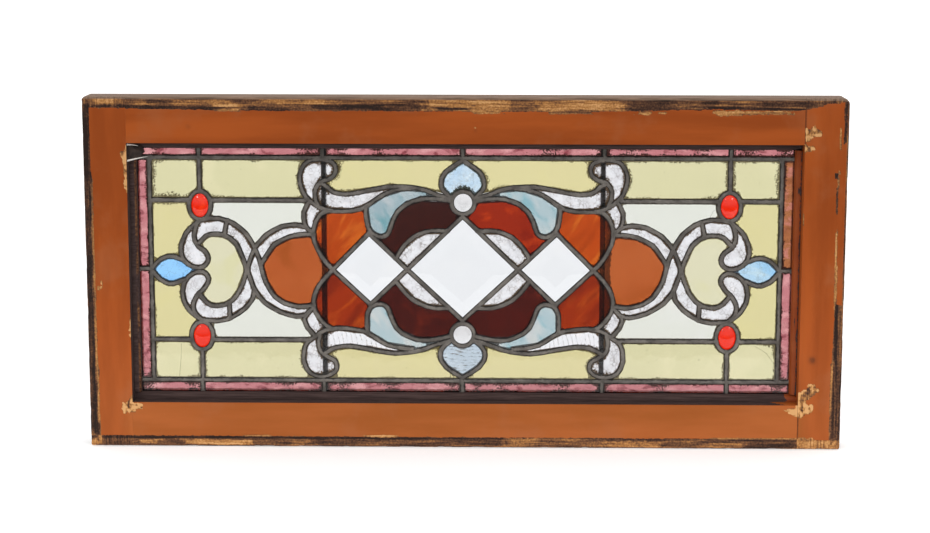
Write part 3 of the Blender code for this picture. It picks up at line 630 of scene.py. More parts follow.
def filled(outline, spacing, creases):
    """Points and triangles that fill the outline and follow the creases, the outline's own points first."""
    rim = resampled(outline, spacing)
    low, high = rim.min(0), rim.max(0)
    xs = np.arange(low[0] + spacing / 2, high[0], spacing)
    zs = np.arange(low[1] + spacing / 2, high[1], spacing * 0.87)
    grid = np.array([(x + (k % 2) * spacing / 2, z) for k, z in enumerate(zs) for x in xs]).reshape(-1, 2)
    if len(grid):
        grid = grid[edge_distance(grid, rim) > spacing * 0.45]
    verts = [tuple(p) for p in rim]
    edges = [(i, (i + 1) % len(rim)) for i in range(len(rim))]
    for line in creases:
        first = len(verts)
        verts += [tuple(p) for p in line]
        edges += [(first + k, first + k + 1) for k in range(len(line) - 1)]
        if len(grid):
            gaps = np.linalg.norm(grid[:, None] - np.asarray(line)[None], axis=2).min(1)
            grid = grid[gaps > 0.8]
    verts += [tuple(p) for p in grid]
    inside_only, merged_below = 1, 1e-5
    points, _, faces, *_ = delaunay_2d_cdt(
        [Vector(v) for v in verts], edges, [list(range(len(rim)))], inside_only, merged_below,
    )
    points = np.array([tuple(p) for p in points])
    triangles = []
    for face in faces:
        a, b, c = points[face[0]], points[face[1]], points[face[2]]
        turn = (b[0] - a[0]) * (c[1] - a[1]) - (b[1] - a[1]) * (c[0] - a[0])
        triangles.append(tuple(face) if turn > 0 else tuple(face)[::-1])
    return points, triangles


def rim_edges(faces):
    """The directed edges that only one face has."""
    once = {}
    for face in faces:
        for start, end in zip(face, face[1:] + face[:1]):
            if (end, start) in once:
                del once[end, start]
            else:
                once[start, end] = True
    return list(once)


def sheet(points, triangles, front, back):
    """Verts and faces of a sheet of glass with these depths of its front and back at each point."""
    count = len(points)
    verts = np.concatenate([
        np.stack([points[:, 0], front, points[:, 1]], 1),
        np.stack([points[:, 0], back, points[:, 1]], 1),
    ])
    faces = list(triangles) + [(c + count, b + count, a + count) for a, b, c in triangles]
    faces += [(b, a, a + count, b + count) for a, b in rim_edges(triangles)]
    return verts, faces


def crack_line(knots, seed):
    """A crack through the knots, in mm in the row frame, slightly jagged."""
    wander = 0.5
    line = smooth_line(knots, 2.0)
    across = across_of(line, False)
    rng = np.random.default_rng(seed)
    return line + across * (rng.random(len(line)) - 0.5)[:, None] * wander


def dirt_and_bar_shadow_at(x, z):
    """How dark the glass is made: dirt in spots and in corners, dirt and painted shadow beside the support
    bars, and a band of painted shadow of the right bar along it.
    """
    dirt_and_shade = spotted(x, z, GRIME_SPOTS)
    # Dirt, and painted shadow of each support bar, on the glass beside it
    for bar in BARS:
        low, high = box_mm(bar)
        beside = np.maximum(np.maximum(low.x - x, x - high.x), 0)
        dirt_and_shade = np.maximum(dirt_and_shade, ease(11, 0, beside))
    # Painted shadow of the right support bar: a dark band on the glass past it
    past_right_bar = x - box_mm(BARS[1])[1].x
    bar_shadow = ease(-1, 0, past_right_bar) * ease(9, 6, past_right_bar)
    return np.maximum(dirt_and_shade, 2.3 * bar_shadow * ease(64, 56, np.abs(z - PATTERN_HEIGHT)))


def make_pane(name, outline, material, relief, spacing, node=None, cracks=()):
    """One piece of glass, run on under the flanges of its cames. Relief gives the height of its front."""
    creases = []
    for seed, knots in enumerate(cracks):
        line = crack_line(knots, seed)
        across = across_of(line, False)
        creases += [line, line + across * CRACK_WIDTH / 2, line - across * CRACK_WIDTH / 2]
    points, triangles = filled(grown(outline, TUCK), spacing, creases)
    edge = edge_distance(points, outline)
    height = relief(points[:, 0], points[:, 1]) * ease(-0.4, 1.4, edge)
    crack = np.zeros(len(points))
    for line in creases[::3]:
        gap = np.linalg.norm(points[:, None] - line[None], axis=2).min(1)
        crack = np.maximum(crack, gap < CRACK_WIDTH / 4)
    front = PANEL_MIDDLE - GLASS / 2 - height + CRACK_DEPTH * crack
    back = np.full(len(points), PANEL_MIDDLE + GLASS / 2)
    verts, faces = sheet(points, triangles, front, back)
    values = {
        "edge": np.tile(edge, 2),
        "relief": np.tile(height, 2),
        "crack": np.concatenate([crack, crack * 0]),
        "dirt_and_shade": np.tile(dirt_and_bar_shadow_at(points[:, 0], points[:, 1]), 2),
    }
    piece(name, verts, faces, material, [node] if node else (), values)


# Materials


THROUGH = (1, 0, 1)  # stretch of a texture that runs unchanged from the front of the glass to its back


def colour(code):
    """A colour from its six-digit code, as the linear values that a shader takes."""
    values = [int(code[i : i + 2], 16) / 255 for i in (0, 2, 4)]
    return tuple(v / 12.92 if v < 0.04045 else ((v + 0.055) / 1.055) ** 2.4 for v in values) + (1,)


def new_material(name):
    material = bpy.data.materials.new(name)
    material.use_nodes = True
    return material, material.node_tree, material.node_tree.nodes["Principled BSDF"]


def node(tree, kind, settings=None, **inputs):
    """A shader node with its settings, and its inputs by name, with underscores for spaces."""
    made = tree.nodes.new("ShaderNode" + kind)
    for key, value in (settings or {}).items():
        setattr(made, key, value)
    for key, value in inputs.items():
        put(tree, made.inputs[key.replace("_", " ")], value)
    return made


def put(tree, socket, value):
    """Gives a socket its value: another node's socket, the code of a colour, or a number or numbers."""
    if isinstance(value, bpy.types.NodeSocket):
        tree.links.new(value, socket)
    else:
        socket.default_value = colour(value) if isinstance(value, str) else value


def mixed(tree, factor, a, b):
    """Colour a where the factor is 0, colour b where it is 1."""
    made = node(tree, "Mix", {"data_type": "RGBA"})
    for socket, value in ((made.inputs[0], factor), (made.inputs[6], a), (made.inputs[7], b)):
        put(tree, socket, value)
    return made.outputs[2]


def calculated(tree, operation, a, b):
    made = node(tree, "Math", {"operation": operation})
    put(tree, made.inputs[0], a)
    put(tree, made.inputs[1], b)
    return made.outputs[0]


def stepped(tree, value, low, high, start=0.0, end=1.0):
    """The value eased from start at low to end at high."""
    made = node(
        tree, "MapRange", {"interpolation_type": "SMOOTHSTEP"},
        Value=value, From_Min=low, From_Max=high, To_Min=start, To_Max=end,
    )
    return made.outputs[0]


def measured(tree, name):
    """A named value at the piece's points."""
    return node(tree, "Attribute", {"attribute_name": name}).outputs["Fac"]


def spot_on(tree, stretch, turn=0.0):
    """The object's own coordinates, turned about the front-to-back axis by some degrees, then stretched."""
    place = node(tree, "TexCoord").outputs["Object"]
    if turn:
        place = node(tree, "Mapping", Vector=place, Rotation=(0, math.radians(turn), 0)).outputs[0]
    return node(tree, "Mapping", Vector=place, Scale=stretch).outputs[0]


def grainy(tree, scale, detail, stretch=(1, 1, 1), distortion=0.0, turn=0.0):
    """Noise over the object's own coordinates, with this many grains a metre."""
    made = node(
        tree, "TexNoise", Vector=spot_on(tree, stretch, turn), Scale=scale, Detail=detail,
        Roughness=0.55, Distortion=distortion,
    )
    return made.outputs["Fac"]


def summed(tree, *terms):
    """The sum of its terms, each a value, or a (value, factor, centre) for factor * (value - centre)."""
    total = None
    for term in terms:
        if isinstance(term, tuple):
            value, factor, centre = term
            term = calculated(tree, "MULTIPLY", calculated(tree, "SUBTRACT", value, centre), factor)
        total = term if total is None else calculated(tree, "ADD", total, term)
    return total


def shaded(tree, value, *shades):
    """A colour that runs through the shades as the value goes from 0 to 1."""
    made = node(tree, "ValToRGB", Fac=value)
    elements = made.color_ramp.elements
    for k, code in enumerate(shades):
        at = k / (len(shades) - 1)
        element = elements[k] if k < 2 else elements.new(at)
        element.position, element.color = at, colour(code)
    return made.outputs["Color"]


def bumped(tree, shader, height, distance, strength):
    bump = node(tree, "Bump", Height=height, Distance=distance, Strength=strength)
    tree.links.new(bump.outputs[0], shader.inputs["Normal"])


def lead_material(name, dark, light, roughness):
    """Dull grey lead, darker in patches and towards the edges of the came."""
    material, tree, shader = new_material(name)
    broad = stepped(tree, grainy(tree, 60, 4), 0.3, 0.7)
    fine = grainy(tree, 700, 3)
    base = mixed(tree, broad, dark, light)
    base = mixed(tree, stepped(tree, fine, 0.45, 0.8, 0.0, 0.35), base, "2C2724")
    # Darker towards the edges of the came, and in patches
    darkened = summed(tree, measured(tree, "rim"), (fine, 0.9, 0.5), (grainy(tree, 110, 3), 0.9, 0.5))
    base = mixed(tree, stepped(tree, darkened, 0.42, 0.85, 0.0, 0.95), base, "1B1613")
    put(tree, shader.inputs["Base Color"], base)
    put(tree, shader.inputs["Roughness"], stepped(tree, fine, 0.3, 0.8, roughness, roughness + 0.2))
    shader.inputs["Metallic"].default_value = 0.35
    bumped(tree, shader, grainy(tree, 420, 4), 0.00025, 0.6)
    return material


def grime_layer(tree, strength, width):
    """Dirt at the edge of a pane, from 0 to 1: a thin dark line, and peppery spots that reach further in."""
    edge, fine = measured(tree, "edge"), grainy(tree, 480, 4, THROUGH)
    line = stepped(tree, summed(tree, edge, (fine, 1.8, 0.5)), 0.2, 0.95, 0.9, 0.0)
    patch = stepped(tree, grainy(tree, 38, 3, THROUGH), 0.42, 0.68, 0.3, 1.3)
    reach = calculated(tree, "MULTIPLY", summed(tree, patch, (measured(tree, "dirt_and_shade"), 2.1, 0.0)), width)
    close = summed(tree, 1.0, (calculated(tree, "DIVIDE", edge, reach), -1.0, 0.0))
    pepper = stepped(tree, summed(tree, fine, (close, 0.3, 0.0)), 0.58, 0.72)
    pepper = calculated(tree, "MULTIPLY", pepper, stepped(tree, close, 0.0, 0.3, 0.0, strength))
    return calculated(tree, "MAXIMUM", line, pepper)


def fissures(tree, scale):
    """Thin branching lines, as between the pebbles of textured glass, in some patches only."""
    place = spot_on(tree, THROUGH)
    wander = node(tree, "TexNoise", Vector=place, Scale=scale * 0.6).outputs["Color"]
    warped = node(tree, "VectorMath", {"operation": "MULTIPLY_ADD"})
    for socket, value in zip(warped.inputs, (wander, (0.8 / scale,) * 3, place)):
        put(tree, socket, value)
    cells = node(
        tree, "TexVoronoi", {"feature": "DISTANCE_TO_EDGE"}, Vector=warped.outputs[0], Scale=scale,
    )
    patch = stepped(tree, grainy(tree, 90, 3, THROUGH), 0.4, 0.62)
    return calculated(tree, "MULTIPLY", stepped(tree, cells.outputs["Distance"], 0.0, 0.13, 1.0, 0.0), patch)


def glass_material(
    name, tint, streak, cloud=None, share=0.5, scale=60, stretch=THROUGH, turn=0.0, grime=0.6, width=1.6,
    dirt_and_shade="4A3C1E", roughness=0.06, transmission=1.0, hollow_dirt_and_shade=0.0, lines=0.0, specks=0.0, bump=0.15, ripple=60,
):
    """Glass of one tint with streaks of another and clouds of a third, with dirt on it and painted shadow of
    the support bars.

    Share and scale are of the streaks. Grime is the strength of the dirt along the came and width how far it
    reaches in mm. The strength that follows the transmission darkens the low parts of the relief: dirt in its
    hollows, and painted shade there. Lines and specks are the strengths of the dirt in the texture.
    """
    material, tree, shader = new_material(name)
    streaks = grainy(tree, scale, 4, stretch, distortion=0.6, turn=turn)
    base = mixed(tree, stepped(tree, streaks, 0.66 - 0.3 * share, 0.84 - 0.3 * share), tint, streak)
    if cloud:
        clouds = stepped(tree, grainy(tree, scale * 0.6, 3, stretch, turn=turn), 0.45, 0.66)
        base = mixed(tree, clouds, base, cloud)
    # Darker low parts of the relief: dirt in the hollows, and painted shade there
    if hollow_dirt_and_shade:
        low = stepped(tree, measured(tree, "relief"), -0.06, 0.16, hollow_dirt_and_shade, 0.0)
        patchy = stepped(tree, grainy(tree, 130, 4, THROUGH), 0.36, 0.6)
        base = mixed(tree, calculated(tree, "MULTIPLY", low, patchy), base, "5A4F44")
    if lines:
        base = mixed(tree, calculated(tree, "MULTIPLY", fissures(tree, scale=240), lines), base, "5E5248")
    if specks:
        dots = stepped(tree, grainy(tree, 330, 2, THROUGH), 0.70, 0.76, 0.0, specks)
        base = mixed(tree, dots, base, dirt_and_shade)
    if grime:
        base = mixed(tree, grime_layer(tree, grime, width), base, dirt_and_shade)
        # Dirt, and painted shadow of the support bars, from the value at the points
        spread = grainy(tree, 420, 4, THROUGH)
        darkened = summed(tree, measured(tree, "dirt_and_shade"), (spread, 1.6, 0.5), (measured(tree, "edge"), -0.1, 0.0))
        base = mixed(tree, stepped(tree, darkened, 0.45, 1.0, 0.0, 0.8), base, dirt_and_shade)
        base = mixed(tree, calculated(tree, "MULTIPLY", measured(tree, "crack"), 0.85), base, "2A2214")
    put(tree, shader.inputs["Base Color"], base)
    shader.inputs["Roughness"].default_value = roughness
    shader.inputs["Transmission Weight"].default_value = transmission
    shader.inputs["IOR"].default_value = 1.5
    bumped(tree, shader, grainy(tree, ripple, 2), 0.0006, bump)
    return material


def drawn_out(along, share):
    """The stretch of a texture that is drawn out along X or Z."""
    return (share, 1, 1) if along == "X" else (1, 1, share)


def wood_layers(tree, along):
    """Bare wood by its tone: 0 black with dirt, 1 freshly bared gold. Also its grain, and fine noise."""
    grain = grainy(tree, 480, 5, drawn_out(along, 0.05))
    fine = grainy(tree, 420, 5)
    tone = summed(tree, measured(tree, "tone"), (grain, 1.3, 0.5), (fine, 0.9, 0.5))
    wood = shaded(tree, tone, "2A1D18", "4C3225", "7A5236", "B47C44", "DCA76E")
    grey = shaded(tree, stepped(tree, grain, 0.3, 0.7), "645143", "977C68")
    wood = mixed(tree, measured(tree, "grey"), wood, grey)
    film = shaded(tree, stepped(tree, grain, 0.3, 0.75), "392B29", "54423F")
    return mixed(tree, measured(tree, "film"), wood, film), grain, fine


def sash_material(name, along, paint_code="B0531A", shade_code="954210"):
    """Orange-brown paint over wood: the paint ends raggedly where the piece's paint value falls away."""
    material, tree, shader = new_material(name)
    wood, grain, fine = wood_layers(tree, along)
    brushed = grainy(tree, 30, 4, drawn_out(along, 0.15))
    paint = mixed(tree, stepped(tree, brushed, 0.3, 0.72), shade_code, paint_code)
    # Painted light from below: a paler paint, mixed in where the paint is lit from below.
    faded = mixed(tree, stepped(tree, brushed, 0.3, 0.7), "A0541C", "B2602A")
    paint = mixed(tree, measured(tree, "faded"), paint, faded)
    scuffs = stepped(tree, grainy(tree, 18, 4), 0.52, 0.72, 0.0, 0.35)
    paint = mixed(tree, scuffs, paint, "A8643C")
    specks = stepped(tree, grainy(tree, 520, 2), 0.76, 0.8, 0.0, 0.35)
    paint = mixed(tree, specks, paint, "C88A5A")
    covered = stepped(tree, summed(tree, measured(tree, "paint"), (fine, 1.0, 0.5)), 0.44, 0.56)
    grimy = calculated(tree, "MULTIPLY", measured(tree, "smudge"), stepped(tree, fine, 0.2, 0.7, 0.6, 1.0))
    paint = mixed(tree, grimy, paint, "33221A")
    put(tree, shader.inputs["Base Color"], mixed(tree, covered, wood, paint))
    put(tree, shader.inputs["Roughness"], stepped(tree, covered, 0.0, 1.0, 0.8, 0.45))
    shader.inputs["Specular IOR Level"].default_value = 0.2
    relief = summed(tree, (covered, 0.5, 0.0), (grain, 0.4, 0.0))
    bumped(tree, shader, relief, 0.0004, 0.7)
    return material


def bar_material():
    material, tree, shader = new_material("rusted_steel")
    rust = stepped(tree, grainy(tree, 240, 4), 0.4, 0.65)
    put(tree, shader.inputs["Base Color"], mixed(tree, rust, "1D1714", "4A2A1A"))
    shader.inputs["Roughness"].default_value = 0.7
    shader.inputs["Metallic"].default_value = 0.4
    bumped(tree, shader, grainy(tree, 600, 3), 0.0002, 0.5)
    return material


# Glass pieces


def hammered(x, z):
    """Dimpled surface: rounded pebbles of several sizes, in mm of height."""
    big = 1 - np.clip(pebbles(x, z, 5.5, 5), 0, 1)
    small = 1 - np.clip(pebbles(x, z, 3.0, 6), 0, 1)
    return 0.3 * big + 0.14 * small - 0.1


def rippled(x, z):
    """Ridges that wander and break, as on ripple glass."""
    bend = 7 * layered(x, z, 13, 21)
    ridge = np.abs(np.sin((x * 0.08 + z + bend) * math.pi / 4.0))
    return 0.34 * ridge**0.7 * (0.5 + noise(x, z, 7, 22)) - 0.08


def granite(x, z):
    """Coarse irregular relief of granite-textured glass."""
    ridge = 1 - np.abs(2 * layered(x, z, 6.0, 31) - 1) * 2.2
    return 0.22 * np.clip(ridge, 0, 1) + 0.12 * noise(x, z, 2.2, 33) - 0.08


def wavy(x, z):
    """The slight unevenness of rolled cathedral glass."""
    return 0.16 * layered(x, z, 22, 41) + 0.03 * noise(x, z, 5, 43)


def ribbed(x, z):
    """Upright ribs, a little bent."""
    return 0.3 * np.abs(np.sin((x + 0.15 * z + 3 * noise(x, z, 14, 23)) * math.pi / 5.6)) ** 0.6 - 0.04


def glass_kinds():
    """The material and slot of each kind of pane, by how its name begins."""
    yellow = glass_material(
        "yellow_glass", "CDC9A1", "D2CDA6", scale=14, specks=0.6, grime=0.85, width=3.4, dirt_and_shade="443719",
    )
    warm = glass_material(
        "warm_yellow_glass", "CFC796", "D0C894", scale=14, specks=0.5, grime=0.8, width=2.4, dirt_and_shade="443719",
    )
    pale = glass_material("pale_yellow_glass", "D0CDB0", "CECBA4", scale=14, specks=0.4, grime=0.8, width=1.2)
    clear = glass_material("clear_glass", "D5D7CF", "D8D9D4", scale=12, specks=0.25, width=0.8)
    amber = amber_glass("amber_glass", "B4460F", "C4601C", "A23C0C")
    amber_deep = amber_glass("deep_amber_glass", "962F0C", "B04A12", "7E240C")
    orange = glass_material(
        "orange_glass", "B35A2A", "A6521F", "B86030", scale=20, dirt_and_shade="2A0F06", roughness=0.15,
        transmission=0.85, specks=0.15, width=0.8,
    )
    ruby_dark = ruby_glass("dark_ruby_glass", "34130F", "42150F")
    ruby_light = ruby_glass("bright_ruby_glass", "8C240B", "B0380C", "7A1A0A")
    ruby = ruby_glass("ruby_glass", "3F130F", "551A10", "46130E")
    opal = opal_glass("opal_glass", "A0B6BE", "79A8B1", "BCC6CA")
    opal_pale = opal_glass("pale_opal_glass", "B4C8CE", "8FBAC4", "CDD2D2")
    blue_left = blue_glass("blue_glass", "7EB6E8", "9CCAEE", "8FC4F0")
    blue_right = blue_glass("pale_blue_glass", "A8C8DE", "BCD2DC", "8CBCE0")
    heart_upper = glass_material(
        "hammered_blue_glass", "BCD0DF", "CCDAE2", "AFC8DC", scale=110, grime=0.95, dirt_and_shade="2C2E22", width=2.4,
        hollow_dirt_and_shade=0.3, specks=0.6, roughness=0.12, lines=0.2,
    )
    heart_lower = glass_material(
        "rippled_blue_glass", "B2C0CC", "C6D0D8", dirt_and_shade="33363A", width=0.8, hollow_dirt_and_shade=1.0, roughness=0.12,
    )
    return {
        "corner_pane": (yellow, "glass_yellow"),
        "field_pane": (yellow, "glass_yellow"),
        "crown_pane": (warm, "glass_yellow"),
        "side_pane": (warm, "glass_yellow"),
        "horseshoe_pane": (pale, "glass_yellow"),
        "clear_pane": (clear, "glass_clear"),
        "amber_pane_upper": (amber, "glass_amber"),
        "amber_pane_lower": (amber_deep, "glass_amber"),
        "disc": (orange, "glass_orange"),
        "crescent": (opal_pale, "glass_opal"),
        "crescent_upper_left": (opal, "glass_opal"),
        "ruby_pane": (ruby, "glass_ruby"),
        "ruby_pane_upper_left": (ruby_dark, "glass_ruby"),
        "ruby_pane_upper_right": (ruby_light, "glass_ruby"),
        "blue_diamond_left": (blue_left, "glass_blue"),
        "blue_diamond_right": (blue_right, "glass_blue"),
        "heart_upper": (heart_upper, "glass_pale_blue"),
        "heart_lower": (heart_lower, "glass_pale_blue"),
    }


def make_glass():
    """The panes that are nodes of the CAD. Where two kinds fit a name, the longer one holds."""
    kinds = glass_kinds()
    for name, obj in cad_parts.items():
        found = [kind for kind in kinds if name.startswith(kind)]
        if found:
            material, slot = kinds[max(found, key=len)]
            relief = {"heart_upper": hammered, "heart_lower": rippled}.get(name, wavy)
            spacing = SMOOTH_SPACING if relief is wavy else RELIEF_SPACING
            outline = outlines_of(obj, 1, box_mm(name)[1].y)[0]
            make_pane(name + "_glass", outline, material, relief, spacing, name, CRACKS.get(name, ()))


def amber_glass(name, tint, streak, cloud):
    return glass_material(
        name, tint, streak, cloud, stretch=(1, 0, 0.25), turn=-40, share=0.55, dirt_and_shade="2A0F06", roughness=0.12,
        transmission=0.9, width=0.8,
    )


def ruby_glass(name, tint, streak, cloud=None):
    return glass_material(
        name, tint, streak, cloud, scale=28, grime=0.4, dirt_and_shade="120505", roughness=0.1, width=0.6,
    )


def opal_glass(name, tint, streak, cloud):
    return glass_material(
        name, tint, streak, cloud, scale=75, stretch=(1, 0, 0.4), turn=35, grime=0.5, dirt_and_shade="33302C",
        roughness=0.2, transmission=0.8, width=0.6, specks=0.15,
    )


def blue_glass(name, tint, streak, cloud):
    return glass_material(
        name, tint, streak, cloud, stretch=(0.5, 0, 1), grime=0.7, dirt_and_shade="2A3038", width=1.0, lines=0.25,
    )


def make_small_glass():
    """The small textured pieces and the border strips, which are webs of the leading in the CAD."""
    white = glass_material(
        "white_textured_glass", "DFE0E4", "E6E4E6", "D2D2D6", scale=130, grime=1.0, dirt_and_shade="42311F", width=2.4,
        hollow_dirt_and_shade=0.2, lines=0.7, specks=0.3, roughness=0.3, bump=0.25, ripple=350,
    )
    ribs = glass_material(
        "white_ribbed_glass", "DFE0E4", "E6E4E6", scale=130, grime=1.0, dirt_and_shade="42311F", width=2.0, hollow_dirt_and_shade=0.9,
        roughness=0.25, bump=0.1,
    )
    pink = strip_glass("pink_glass", "B67378", "863E46", "CA9092")
    brown_pink = strip_glass("brown_pink_glass", "A0643E", "B9776C", "8C5030")
    floor = PANEL_LOW.y + (PANEL_HIGH.y - PANEL_LOW.y - GLASS) / 2
    loops = outlines_of(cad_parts["leading"], -1, floor)
    for name, spot in SMALL_PIECES.items():
        for side, sign in (("left", 1), ("right", -1)):
            at = placed([(spot[0] * sign, spot[1])])
            outline = next(loop for loop in loops if edge_distance(at, loop)[0] > 0)
            if name.startswith("border"):
                tinted = brown_pink if (name, side) == ("border_side_upper", "right") else pink
                make_pane(f"{name}_{side}", outline, tinted, wavy, 2.0)
            else:
                relief = ribbed if name == "leaf_lower" else granite
                kind = white if relief is granite else ribs
                make_pane(f"{name}_{side}", outline, kind, relief, RELIEF_SPACING)


def strip_glass(name, tint, streak, cloud):
    return glass_material(
        name, tint, streak, cloud, scale=110, share=0.6, stretch=(0.5, 0, 1), grime=1.0, dirt_and_shade="33150E",
        specks=1.0, roughness=0.15, width=3.2, bump=0.4, ripple=250,
    )


def make_bevel(name, material):
    """A thick square with a flat polished bevel on each side, its edges slightly rounded."""
    outline = without_doubles(outlines_of(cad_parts[name], 1, box_mm(name)[1].y)[0], 1.0)
    loops = [grown(outline, TUCK), outline, grown(outline, -BEVEL_WIDTH), grown(outline, -BEVEL_WIDTH - 0.5)]
    edge_front = PANEL_MIDDLE - GLASS / 2
    depths = [edge_front, edge_front, edge_front - BEVEL_DROP + 0.06, edge_front - BEVEL_DROP]
    sides = len(outline)
    verts = [(x, y, z) for loop, y in zip(loops, depths) for x, z in loop]
    verts += [(x, PANEL_MIDDLE + GLASS / 2, z) for x, z in loops[0]]
    top, back = 3 * sides, 4 * sides
    faces = walls(sides, 3) + [tuple(range(top, top + sides)), tuple(range(back, back + sides))[::-1]]
    for i in range(sides):
        after = (i + 1) % sides
        faces.append((after, i, back + i, back + after))
    piece(name + "_glass", verts, faces, material, [name], smooth=False)


def walls(sides, levels):
    """The faces between loops of this many points that lie one after another, this many levels of faces."""
    faces = []
    for low in range(0, levels * sides, sides):
        for i in range(sides):
            after = (i + 1) % sides
            faces.append((low + i, low + after, low + sides + after, low + sides + i))
    return faces


def turned(profile, sides, middle, radii):
    """A turned shape about an axis from front to back, made oval: the profile is (share of radius, depth)."""
    turns = np.arange(sides) * 2 * math.pi / sides
    verts = []
    for share, y in profile:
        xs = middle[0] + radii[0] * share * np.cos(turns)
        zs = middle[1] + radii[1] * share * np.sin(turns)
        verts += [(x, y, z) for x, z in zip(xs, zs)]
    faces = walls(sides, len(profile) - 1)
    faces.append(tuple(range(sides))[::-1])
    faces.append(tuple(range((len(profile) - 1) * sides, len(profile) * sides)))
    return verts, faces


def make_jewel(name, radii, rise, material, rings=()):
    """A pressed jewel: a rim held in the came, and a dome with raised rings at shares of the radius."""
    low, high = box_mm(name)
    middle = ((low.x + high.x) / 2, (low.z + high.z) / 2)
    rim = [radius + 1.5 for radius in radii]
    back, front = PANEL_MIDDLE + GLASS / 2, PANEL_MIDDLE - GLASS / 2
    inner = radii[0] / rim[0]
    step, steps, sides = 0.4, 22, 72
    ring_height, ring_width = 0.25, 0.035
    profile = [(0.9, back), (1.0, back - 0.4), (1.0, front + 0.4), (0.985, front)]
    for k in range(steps):
        share = inner * (1 - k / steps)
        lift = step * ease(inner, 0.93 * inner, share) + (rise - step) * (1 - (share / inner) ** 2)
        lift += sum(ring_height * math.exp(-(((share - at) / ring_width) ** 2)) for at in rings)
        profile.append((share, front - lift))
    verts, faces = turned(profile, sides, middle, rim)
    piece(name + "_glass", verts, faces, material, [name])


def make_jewels():
    red = glass_material(
        "red_jewel_glass", "EE2805", "F63C10", grime=0.0, roughness=0.1, transmission=0.8, bump=0.05,
    )
    rondel = glass_material(
        "rondel_glass", "D2D2D4", "C8C8CA", scale=90, grime=0.0, roughness=0.12, bump=0.3, ripple=200,
    )
    bevel = glass_material(
        "bevelled_glass", "DCDEE1", "DFE0E2", scale=10, grime=0.0, roughness=0.0, bump=0.0,
    )
    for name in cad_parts:
        if name.startswith("jewel"):
            make_jewel(name, JEWEL_RADII, JEWEL_RISE, red)
        elif name.startswith("rondel"):
            radii = (RONDEL_RADIUS, RONDEL_RADIUS)
            make_jewel(name, radii, RONDEL_RISE, rondel, RONDEL_RINGS)
        elif name.startswith("bevel"):
            make_bevel(name, bevel)


# Sash


# Where the paint of the front ends: z at each x along the top and bottom, x at each z along the sides.
# At the right it steps outward at z = 178.
TOP_LINE = (
    (-457, 414), (-437, 414), (-317, 412), (-197, 411.2), (160, 411), (297, 414.2), (398, 412.8),
    (416, 416.4), (434, 421.4), (457, 423.5),
)
BOTTOM_LINE = ((-457, 13.3), (-200, 12.9), (400, 12.5), (457, 10.7))
LEFT_LINE = ((0, -444.5), (60, -445.2), (90, -444), (110, -446), (330, -446.3), (340, -448.4), (427, -448.4))
RIGHT_LINE = ((0, 443), (50, 443.5), (123, 444.6), (178, 445.84), (178.01, 454.6), (427, 454.6))

# Outlines of the places where the paint has chipped off the front
CHIPS = (
    (
        (405.2, 392), (409, 391), (412.5, 392.5), (416.5, 395), (419, 391.5), (423, 391), (425.5, 386.5),
        (424, 384), (420, 382), (416, 383), (413, 379), (409.5, 375.5), (405.2, 375.5),
    ),
    ((405, 373.5), (407.5, 373), (410, 371), (416, 371), (417, 367), (413, 364), (405, 363)),
    (
        (403.5, 71), (408, 70), (414, 76), (418, 81), (424, 81), (431, 73.5), (426, 68), (419, 63), (415, 60),
        (417, 54), (422.5, 56), (423, 46), (415, 43), (409, 38.5), (400, 41), (395, 45), (388.5, 48),
        (396, 51), (403.5, 52),
    ),
    (
        (-417, 53), (-413, 53), (-411, 56), (-404.2, 66), (-404, 53), (-392, 52), (-392.5, 46), (-400, 46),
        (-400.5, 41), (-417, 40.5),
    ),
    (
        (-412.6, 362.5), (-407.5, 363.5), (-404.2, 370), (-403.8, 311), (-405.5, 311), (-406.5, 316),
        (-408.8, 317), (-408.4, 330), (-409.4, 340), (-409, 352), (-412.4, 359),
    ),
    ((-405.8, 158), (-404, 160), (-404, 128), (-405.6, 132)),
)

